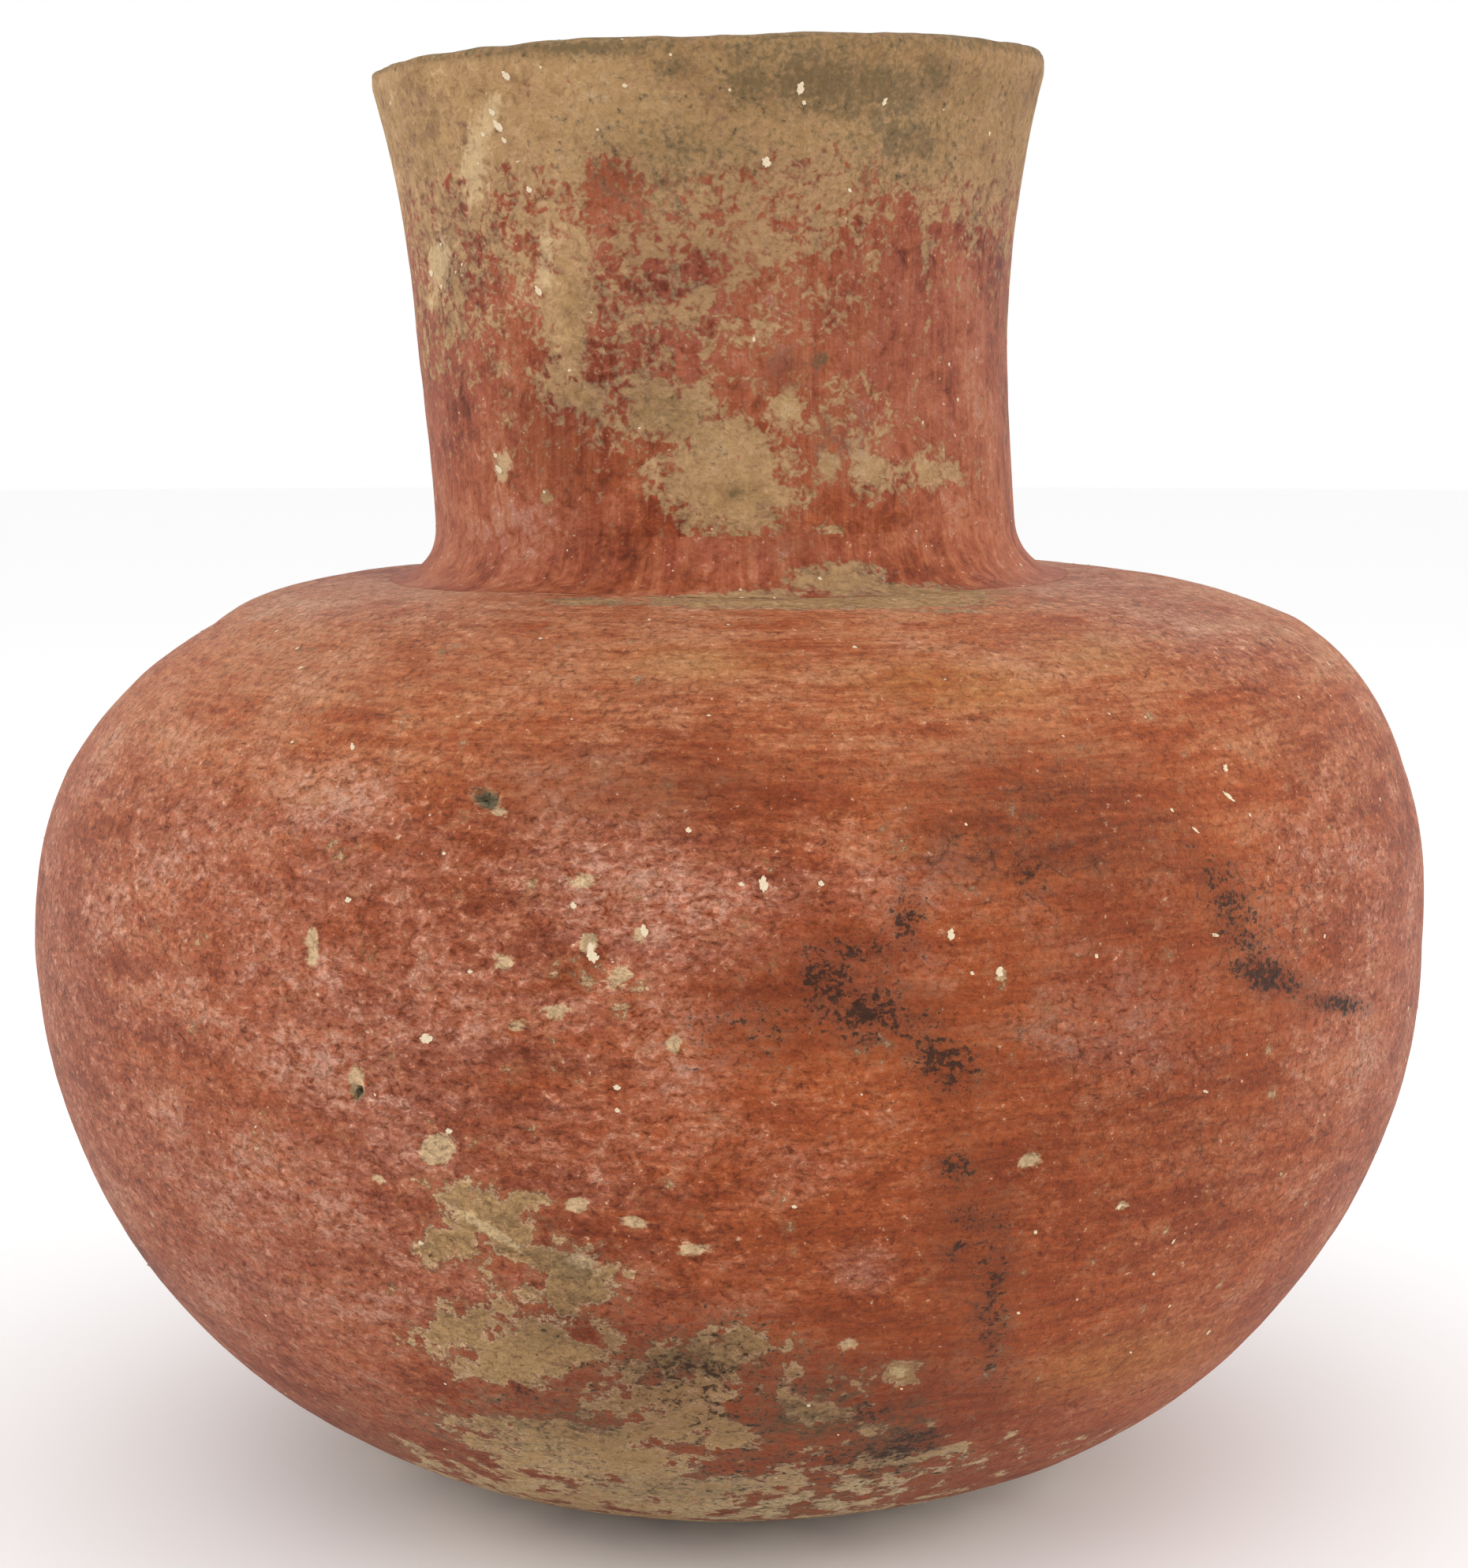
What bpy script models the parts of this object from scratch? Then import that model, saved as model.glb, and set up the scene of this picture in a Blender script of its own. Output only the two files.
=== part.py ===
"""Hand-built pottery jar with a round body and a tall, wide neck, as the pieces of clay that it is made of.

A pinched bowl is the base. Coils of clay go on it, each lapped inside the one below, to make the body and
the shoulder. Three more coils make the neck, whose mitred foot stands in the shoulder's opening. A thin roll
fills the corner round the neck, and a last coil, turned out and rounded over, is the rim.

Metres, +Z up, with the origin at the middle of the foot. The photographed side faces -Y.
"""

import math

import bpy
import numpy as np

# The outer form, from the foot up
FOOT_RADIUS = 0.020
BELLY_RADIUS = 0.100
BELLY_HEIGHT = 0.078
SHOULDER_RISE = 0.0515
LEDGE_WIDTH = 0.0072
NECK_RADIUS = 0.0418
NECK_LENGTH = 0.0685
RIM_FLARE = 0.0061

# What follows from those sizes: the shoulder's flat ledge round the neck, and the rim
SHOULDER_HEIGHT = BELLY_HEIGHT + SHOULDER_RISE
SHOULDER_RADIUS = NECK_RADIUS + LEDGE_WIDTH
RIM_HEIGHT = SHOULDER_HEIGHT + NECK_LENGTH

# How full each curve is. An exponent of 2 is a plain ellipse, and a larger one is squarer.
LOWER_FULLNESS = (2.19, 1.88)
UPPER_FULLNESS = (2.34, 2.34)
FLARE_POWER = 3.6

# How far the hand-built form stands out of true, towards +X
BELLY_SWAY = -0.0004
SHOULDER_SWAY = 0.0032
NECK_ROOT_SWAY = -0.0004
NECK_MIDDLE_SWAY = -0.0027
RIM_SWAY = -0.0034

# The clay's thickness
FLOOR_WALL = 0.009
BODY_WALL = 0.0065
NECK_WALL = 0.0055
LIP_WALL = 0.0045

# The pieces that the potter adds, one on another
BOWL_HEIGHT = 0.020
BODY_COILS = 6
SHOULDER_COILS = 2
NECK_COILS = 3
RIM_COIL_HEIGHT = 0.012
ROLL_HEIGHT = 0.0075
ROLL_EDGE = 0.0006

# A seam slopes down to the inside by its lap, and keeps a gap between the two pieces.
SEAM_LAP = 0.004
SEAM_GAP = 0.0003

# How finely the shapes are drawn
AROUND = 56
BOWL_STATIONS = 8
BODY_STATIONS = 4
NECK_STATIONS = 3
LIP_STATIONS = 6
CURVE_SAMPLES = 60
SHARP_ANGLE = math.radians(40)
MERGE_DISTANCE = 0.00005

# Finishes: base colour in linear light, and roughness
RED_SLIP = ((0.40, 0.085, 0.042), 0.55)
WORN_SLIP = ((0.41, 0.13, 0.062), 0.62)
BARE_CLAY = ((0.40, 0.24, 0.105), 0.75)


class Wall:
    """A wall of clay: a line up its outside, measured by the distance along it, and a thickness behind it.

    The outline is points of (radius, height), and the walls are pairs of a height and the thickness there.
    """

    def __init__(self, outline, walls):
        self.outline = np.array(outline)
        steps = np.linalg.norm(np.diff(self.outline, axis=0), axis=1)
        self.distances = np.concatenate([[0.0], np.cumsum(steps)])
        self.length = self.distances[-1]
        self.walls = [(self.distance_at_height(height), thickness) for height, thickness in walls]

    def outer(self, distance):
        return np.array([np.interp(distance, self.distances, axis) for axis in self.outline.T])

    def normal(self, distance):
        reach = self.length / (4 * CURVE_SAMPLES)
        ahead = self.outer(min(distance + reach, self.length))
        behind = self.outer(max(distance - reach, 0.0))
        along = (ahead - behind) / np.linalg.norm(ahead - behind)
        return np.array([along[1], -along[0]])

    def thickness_at(self, distance):
        return np.interp(distance, *zip(*self.walls))

    def inner(self, distance):
        return self.outer(distance) - self.normal(distance) * self.thickness_at(distance)

    def distance_at_height(self, height):
        return np.interp(height, self.outline[:, 1], self.distances)


def bulge(centre, half_width, half_height, fullness, first_angle, last_angle):
    """Points on a quarter of a superellipse, as (radius, height)."""
    points = []
    for angle in np.radians(np.linspace(first_angle, last_angle, CURVE_SAMPLES)):
        across = abs(math.cos(angle)) ** (2 / fullness[0])
        up = math.copysign(abs(math.sin(angle)) ** (2 / fullness[1]), math.sin(angle))
        points.append((centre[0] + half_width * across, centre[1] + half_height * up))
    return points


def body_wall():
    """The wall from the middle of the foot, round the belly and over the shoulder to the neck's opening."""
    lower = bulge(
        (FOOT_RADIUS, BELLY_HEIGHT), BELLY_RADIUS - FOOT_RADIUS, BELLY_HEIGHT, LOWER_FULLNESS, -90, 0
    )
    upper = bulge(
        (SHOULDER_RADIUS, BELLY_HEIGHT),
        BELLY_RADIUS - SHOULDER_RADIUS,
        SHOULDER_RISE,
        UPPER_FULLNESS,
        0,
        90,
    )
    opening = [(NECK_RADIUS, SHOULDER_HEIGHT), (NECK_RADIUS - NECK_WALL, SHOULDER_HEIGHT)]
    outline = [(0.0, 0.0)] + lower + upper[1:] + opening
    return Wall(outline, [(0.0, FLOOR_WALL), (BOWL_HEIGHT, BODY_WALL)])


def neck_wall():
    """The wall from the underside of the shoulder's opening up to the lip."""
    heights = np.linspace(SHOULDER_HEIGHT, RIM_HEIGHT, CURVE_SAMPLES)
    radii = NECK_RADIUS + RIM_FLARE * ((heights - SHOULDER_HEIGHT) / NECK_LENGTH) ** FLARE_POWER
    outline = [(NECK_RADIUS, SHOULDER_HEIGHT - BODY_WALL)] + list(zip(radii, heights))
    return Wall(outline, [(SHOULDER_HEIGHT, NECK_WALL), (RIM_HEIGHT, LIP_WALL)])


def drawn_in(wall, seam, side):
    """A seam's (outer, inner) distances, moved off the joint by half its gap. Side is +1 above it, -1 below."""
    outer, inner = seam
    slope = math.hypot(1.0, (outer - inner) / wall.thickness_at(outer))
    shift = side * SEAM_GAP / 2 * slope
    return outer + shift, inner + shift


def coil_section(wall, lower_seam, upper_seam, stations):
    """Section of a coil between two seams: down its outer side, then up its inner one."""
    low_outer, low_inner = drawn_in(wall, lower_seam, +1)
    high_outer, high_inner = drawn_in(wall, upper_seam, -1)
    outer = [wall.outer(d) for d in np.linspace(high_outer, low_outer, stations)]
    inner = [wall.inner(d) for d in np.linspace(low_inner, high_inner, stations)]
    return outer + inner


def lapped_seams(first, last, count):
    """Seams at even distances along a wall, with the inner edge of each lapped below its outer edge."""
    return [(d, d - SEAM_LAP) for d in np.linspace(first, last, count + 1)]


def bowl_section(wall, upper_seam):
    """Section of the base: out along the floor, up inside, over the seam, and down outside to the foot."""
    high_outer, high_inner = drawn_in(wall, upper_seam, -1)
    inner = [wall.inner(d) for d in np.linspace(FOOT_RADIUS, high_inner, BOWL_STATIONS)]
    outer = [wall.outer(d) for d in np.linspace(high_outer, FOOT_RADIUS, BOWL_STATIONS)]
    return [(0.0, FLOOR_WALL)] + inner + outer + [(0.0, 0.0)]


def rim_section(wall, lower_seam):
    """Section of the rim: a coil whose top is rounded over from its outer side to its inner one."""
    low_outer, low_inner = drawn_in(wall, lower_seam, +1)
    outer_edge, inner_edge = wall.outer(wall.length), wall.inner(wall.length)
    middle = (outer_edge + inner_edge) / 2
    outward = (outer_edge - inner_edge) / 2
    upward = np.array([-outward[1], outward[0]])
    turn = np.radians(np.linspace(180, 0, LIP_STATIONS))
    lip = [middle + outward * math.cos(a) + upward * math.sin(a) for a in turn]
    outer = [wall.outer(d) for d in np.linspace(wall.length, low_outer, NECK_STATIONS)]
    inner = [wall.inner(d) for d in np.linspace(low_inner, wall.length, NECK_STATIONS)]
    return lip + outer[1:] + inner[:-1]


def roll_section():
    """Section of the roll in the corner round the neck: a hollow outer face and two square legs."""
    corner = np.array([NECK_RADIUS + SEAM_GAP, SHOULDER_HEIGHT + SEAM_GAP])
    reach = np.array([SHOULDER_RADIUS, SHOULDER_HEIGHT + ROLL_HEIGHT]) - corner
    hollow = corner + reach
    face = []
    for angle in np.radians(np.linspace(180, 270, LIP_STATIONS)):
        across, up = math.cos(angle), math.sin(angle)
        face.append(hollow + (reach - ROLL_EDGE) * np.array([across, up]))
    return [(corner[0], hollow[1])] + face + [(hollow[0], corner[1]), tuple(corner)]


def sway(height):
    """How far the jar's middle stands out of true at a height."""
    stations = [
        (0.0, 0.0),
        (BELLY_HEIGHT, BELLY_SWAY),
        (SHOULDER_HEIGHT - BODY_WALL, SHOULDER_SWAY),
        (SHOULDER_HEIGHT, NECK_ROOT_SWAY),
        (SHOULDER_HEIGHT + NECK_LENGTH / 2, NECK_MIDDLE_SWAY),
        (RIM_HEIGHT, RIM_SWAY),
    ]
    return np.interp(height, *zip(*stations))


def clay(name, finish):
    """A fired clay finish."""
    colour, roughness = finish
    material = bpy.data.materials.new(name)
    material.use_nodes = True
    shader = material.node_tree.nodes["Principled BSDF"]
    shader.inputs["Base Color"].default_value = (*colour, 1.0)
    shader.inputs["Roughness"].default_value = roughness
    shader.inputs["Metallic"].default_value = 0.0
    return material


def turned(name, section, finish, collection, closed=True):
    """One piece of the jar: its section turned round the upright axis, then swayed as the hand left it."""
    count = len(section)
    edges = [(i, i + 1) for i in range(count - 1)]
    if closed:
        edges.append((count - 1, 0))
    profile = bpy.data.meshes.new(f"{name}_section")
    profile.from_pydata([(radius, 0.0, height) for radius, height in section], edges, [])
    obj = bpy.data.objects.new(name, profile)
    collection.objects.link(obj)

    screw = obj.modifiers.new("Turn", "SCREW")
    screw.steps = AROUND
    screw.render_steps = AROUND
    screw.use_merge_vertices = True
    screw.merge_threshold = MERGE_DISTANCE
    graph = bpy.context.evaluated_depsgraph_get()
    obj.data = bpy.data.meshes.new_from_object(obj.evaluated_get(graph))
    obj.modifiers.clear()
    bpy.data.meshes.remove(profile)

    obj.data.name = name
    for vertex in obj.data.vertices:
        vertex.co.x += sway(vertex.co.z)
    obj.data.shade_smooth()
    obj.data.set_sharp_from_angle(angle=SHARP_ANGLE)
    obj.data.materials.append(clay(f"{name}_clay", finish))
    return obj


def build_body(collection):
    """The base bowl, and the coils from its edge over the belly and the shoulder to the neck's opening."""
    wall = body_wall()
    bowl_edge = wall.distance_at_height(BOWL_HEIGHT)
    opening_edge = wall.length - NECK_WALL
    names = [f"body_coil_{i + 1}" for i in range(BODY_COILS)]
    names += [f"shoulder_coil_{i + 1}" for i in range(SHOULDER_COILS)]
    seams = lapped_seams(bowl_edge, opening_edge, len(names))
    seams[-1] = (opening_edge, wall.length)

    turned("base_bowl", bowl_section(wall, seams[0]), WORN_SLIP, collection, closed=False)
    for name, lower, upper in zip(names, seams, seams[1:]):
        turned(name, coil_section(wall, lower, upper, BODY_STATIONS), RED_SLIP, collection)


def build_neck(collection):
    """The roll round the neck's foot, the neck's coils and the rim."""
    turned("neck_root_roll", roll_section(), RED_SLIP, collection)

    wall = neck_wall()
    rim_edge = wall.distance_at_height(RIM_HEIGHT - RIM_COIL_HEIGHT)
    seams = lapped_seams(BODY_WALL, rim_edge, NECK_COILS)
    seams[0] = (BODY_WALL, 0.0)
    for i, (lower, upper) in enumerate(zip(seams, seams[1:])):
        section = coil_section(wall, lower, upper, NECK_STATIONS)
        turned(f"neck_coil_{i + 1}", section, WORN_SLIP, collection)
    turned("rim_coil", rim_section(wall, seams[-1]), BARE_CLAY, collection)


def main():
    for obj in list(bpy.data.objects):
        bpy.data.objects.remove(obj, do_unlink=True)
    jar = bpy.data.collections.new("pottery_jar")
    bpy.context.scene.collection.children.link(jar)
    build_body(jar)
    build_neck(jar)


main()
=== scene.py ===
"""The looks of a hand-built pottery jar: coils of coarse clay under a coat of red slip, worn by long use.

Metres, +Z up, with the origin at the middle of the foot. The photographed side faces -Y.
"""

import math
from typing import NamedTuple

import bpy
import numpy as np
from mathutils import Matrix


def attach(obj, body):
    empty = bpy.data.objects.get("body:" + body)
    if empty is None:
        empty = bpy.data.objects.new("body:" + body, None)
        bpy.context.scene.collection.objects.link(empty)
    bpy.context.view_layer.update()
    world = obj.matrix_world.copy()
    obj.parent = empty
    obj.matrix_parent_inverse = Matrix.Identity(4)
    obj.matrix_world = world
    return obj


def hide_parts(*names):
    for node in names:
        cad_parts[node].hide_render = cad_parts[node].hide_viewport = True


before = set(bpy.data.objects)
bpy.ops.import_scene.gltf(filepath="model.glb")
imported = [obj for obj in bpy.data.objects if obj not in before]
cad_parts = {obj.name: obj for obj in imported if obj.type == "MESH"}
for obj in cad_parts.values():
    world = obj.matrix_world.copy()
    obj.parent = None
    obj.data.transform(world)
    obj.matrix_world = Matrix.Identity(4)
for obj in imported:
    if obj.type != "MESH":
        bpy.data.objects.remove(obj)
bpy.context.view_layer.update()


# Camera
# A long lens, level with the middle of the neck, looks slightly down on the jar.
# Marks that show in the photograph are given by their place in its frame, so the lens comes first.
PHOTO_WIDTH, PHOTO_HEIGHT = 1861, 1988
CAMERA_DISTANCE = 0.4696
CAMERA_RISE = math.radians(7.33)
AIM = np.array([0.00032, 0.0, 0.0987])
FOCAL_LENGTH_MM, SENSOR_MM = 73.6, 36.0

camera_data = bpy.data.cameras.new("photo_camera")
camera_data.lens = FOCAL_LENGTH_MM
camera_data.sensor_fit = "VERTICAL"
camera_data.sensor_height = SENSOR_MM
camera = bpy.data.objects.new("photo_camera", camera_data)
camera.location = AIM + CAMERA_DISTANCE * np.array([0, -math.cos(CAMERA_RISE), math.sin(CAMERA_RISE)])
camera.rotation_euler = (math.pi / 2 - CAMERA_RISE, 0, 0)
bpy.context.scene.collection.objects.link(camera)
bpy.context.scene.camera = camera


def photo_places(points):
    """Where points show in the photograph's frame, in its pixels."""
    forward = np.array([0, math.cos(CAMERA_RISE), -math.sin(CAMERA_RISE)])
    up = np.array([0, math.sin(CAMERA_RISE), math.cos(CAMERA_RISE)])
    away = points - np.array(camera.location)
    focal_px = FOCAL_LENGTH_MM / SENSOR_MM * PHOTO_HEIGHT
    depth = away @ forward
    return np.stack(
        [PHOTO_WIDTH / 2 + focal_px * away[:, 0] / depth, PHOTO_HEIGHT / 2 - focal_px * (away @ up) / depth],
        axis=1,
    )


# Base bowl
# A lump of coarse clay pinched into a bowl and pressed down on a small flat foot. The rest of the jar
# stands on its edge. Its slip is worn through to the buff clay where the jar stood and was dragged.
FOOT_RADIUS = 0.020
BELLY_RADIUS = 0.100
BELLY_HEIGHT = 0.078
SHOULDER_RISE = 0.0515
NECK_RADIUS = 0.0418
LEDGE_WIDTH = 0.0072
LOWER_FULLNESS = (2.19, 1.88)
UPPER_FULLNESS = (2.34, 2.34)
SHOULDER_HEIGHT = BELLY_HEIGHT + SHOULDER_RISE
FLOOR_WALL, BODY_WALL, NECK_WALL = 0.009, 0.0065, 0.0055
BOWL_HEIGHT = 0.020
BODY_COILS, SHOULDER_COILS = 6, 2
SEAM_LAP = 0.004
COIL_RIDGE = 0.0007

# By height: the lean to the right, the shoulder's tilt, the rim's lift on the right, and how uneven it is
SWAY = [
    (0.0, 0.0),
    (0.078, -0.0004),
    (0.103, 0.0004),
    (0.123, 0.0032),
    (0.1295, -0.0004),
    (0.164, -0.0027),
    (0.198, -0.0034),
]
TILT = [(0.09, 0.0), (0.12, 0.007), (0.14, 0.007), (0.17, 0.0)]
LIFT = [(0.13, 0.0), (0.198, 0.055)]
FREEDOM = [(0.001, 0.0), (0.012, 1.0), (0.194, 1.0), (0.199, 3.0)]
LIFT_EASE = 0.01

# Scales of the unevenness, and how finely a piece is made
SWELLS, TOOL_MARKS = 22.0, 110.0
BODY_AROUND, BODY_STRIPS = 720, 4
OUTER_STEP, INNER_STEP, BOWL_STEP = 0.0009, 0.003, 0.0013
CURVE_SAMPLES = 400
SHARP_ANGLE = math.radians(30)


class Wall:
    """A wall of clay: a line up its outside, measured by the distance along it, and a thickness behind it."""

    def __init__(self, outline, walls):
        self.outline = np.array(outline)
        steps = np.linalg.norm(np.diff(self.outline, axis=0), axis=1)
        self.distances = np.concatenate([[0.0], np.cumsum(steps)])
        self.length = self.distances[-1]
        self.walls = [(self.distance_at_height(height), thickness) for height, thickness in walls]

    def outer(self, distance):
        return np.stack([np.interp(distance, self.distances, axis) for axis in self.outline.T], axis=-1)

    def normal(self, distance):
        reach = self.length / CURVE_SAMPLES
        ahead = self.outer(np.minimum(distance + reach, self.length))
        along = ahead - self.outer(np.maximum(distance - reach, 0))
        along /= np.linalg.norm(along, axis=-1, keepdims=True)
        return np.stack([along[..., 1], -along[..., 0]], axis=-1)

    def inner(self, distance, swell=0.0):
        thickness = np.interp(distance, *zip(*self.walls)) + swell
        return self.outer(distance) - self.normal(distance) * np.expand_dims(thickness, -1)

    def distance_at_height(self, height):
        return np.interp(height, self.outline[:, 1], self.distances)


def bulge(middle_radius, half_width, half_height, fullness, first_angle, last_angle):
    """Points on a quarter of a superellipse round the belly's height, as (radius, height)."""
    angles = np.radians(np.linspace(first_angle, last_angle, CURVE_SAMPLES))
    across = np.abs(np.cos(angles)) ** (2 / fullness[0])
    up = np.sign(np.sin(angles)) * np.abs(np.sin(angles)) ** (2 / fullness[1])
    return list(zip(middle_radius + half_width * across, BELLY_HEIGHT + half_height * up))


shoulder_radius = NECK_RADIUS + LEDGE_WIDTH
body_wall = Wall(
    [(0.0, 0.0)]
    + bulge(FOOT_RADIUS, BELLY_RADIUS - FOOT_RADIUS, BELLY_HEIGHT, LOWER_FULLNESS, -90, 0)
    + bulge(shoulder_radius, BELLY_RADIUS - shoulder_radius, SHOULDER_RISE, UPPER_FULLNESS, 0, 90)[1:]
    + [(NECK_RADIUS, SHOULDER_HEIGHT), (NECK_RADIUS - NECK_WALL, SHOULDER_HEIGHT)],
    [(0.0, FLOOR_WALL), (BOWL_HEIGHT, BODY_WALL)],
)
bowl_edge = body_wall.distance_at_height(BOWL_HEIGHT)
opening_edge = body_wall.length - NECK_WALL
body_edges = np.linspace(bowl_edge, opening_edge, BODY_COILS + SHOULDER_COILS + 1)
body_seams = [(edge, edge - SEAM_LAP) for edge in body_edges]
body_seams[-1] = (opening_edge, body_wall.length)


class Section(NamedTuple):
    """A piece's cut face as points of (radius, height), each with the way out of the clay.

    along is a point's distance up the wall, and inside is 1 where it is on the jar's inner side.
    """

    points: np.ndarray
    outward: np.ndarray
    along: np.ndarray
    inside: np.ndarray


def stretch(first, last, step):
    """Even distances from first to last, about a step apart."""
    return np.linspace(first, last, max(2, int(abs(last - first) / step) + 1))


def joined(*sections):
    """Sections one after another."""
    return Section(*[np.concatenate(parts) for parts in zip(*sections)])


def outer_face(wall, first, last, step):
    d = stretch(first, last, step)
    return Section(wall.outer(d), wall.normal(d), d, np.zeros(len(d)))


def inner_face(wall, first, last, step):
    """The inside of a coil, which swells a little between its two seams."""
    d = stretch(first, last, step)
    swell = COIL_RIDGE * np.sin(np.pi * np.linspace(0, 1, len(d)))
    return Section(wall.inner(d, swell), wall.normal(d), d, np.ones(len(d)))


def coil_section(wall, lower, upper):
    """A coil: up its outside, over its upper seam, down its inside and back along its lower seam."""
    faces = joined(
        outer_face(wall, lower[0], upper[0], OUTER_STEP), inner_face(wall, upper[1], lower[1], INNER_STEP)
    )
    return joined(faces, Section(*[values[:1] for values in faces]))


class Wire:
    """A socket in a node tree. Sums of wires and numbers add the nodes that work them out."""

    def __init__(self, tree, socket=None):
        self.tree = tree
        self.socket = socket

    def node(self, kind, settings=None, inputs=None, output=0):
        made = self.tree.nodes.new(kind)
        for name, value in (settings or {}).items():
            if name == "stops":
                while len(made.color_ramp.elements) < len(value):
                    made.color_ramp.elements.new(1.0)
                for element, (place, colour) in zip(made.color_ramp.elements, value):
                    element.position = place
                    element.color = colour
            else:
                setattr(made, name, value)
        for key, value in (inputs or {}).items():
            if isinstance(value, Wire):
                self.tree.links.new(value.socket, made.inputs[key])
            else:
                made.inputs[key].default_value = value
        return Wire(self.tree, made.outputs[output])

    def maths(self, operation, *values):
        return self.node("ShaderNodeMath", {"operation": operation}, dict(enumerate(values)))

    def __add__(self, other):
        return self.maths("ADD", self, other)

    __radd__ = __add__

    def __sub__(self, other):
        return self.maths("SUBTRACT", self, other)

    def __rsub__(self, other):
        return self.maths("SUBTRACT", other, self)

    def __mul__(self, other):
        return self.maths("MULTIPLY", self, other)

    __rmul__ = __mul__

    def __truediv__(self, other):
        return self.maths("DIVIDE", self, other)

    def most(self, other):
        return self.maths("MAXIMUM", self, other)

    def smooth(self, low, high):
        """0 below low, 1 above high, and a smooth rise between them."""
        settings = {"interpolation_type": "SMOOTHSTEP"}
        return self.node("ShaderNodeMapRange", settings, {0: self, 1: low, 2: high})

    def blend(self, first, second, how="MIX"):
        """A colour between first and second, with this wire as the share of the second."""
        settings = {"data_type": "RGBA", "blend_type": how}
        return self.node("ShaderNodeMix", settings, {0: self, 6: first, 7: second}, 2)

    def vector(self, x, y, z):
        return self.node("ShaderNodeCombineXYZ", None, {0: x, 1: y, 2: z})

    def noise(self, vector, scale, detail=3.0, roughness=0.55, warp=0.0):
        """Noise about 0, mostly between -1 and 1, that spreads as widely however many finer layers it has."""
        inputs = {
            "Vector": vector,
            "Scale": scale,
            "Detail": detail,
            "Roughness": roughness,
            "Distortion": warp,
        }
        layers = roughness ** np.arange(detail + 1)
        gain = 2.5 * layers.sum() / np.linalg.norm(layers)
        return (self.node("ShaderNodeTexNoise", None, inputs) - 0.5) * gain


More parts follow.
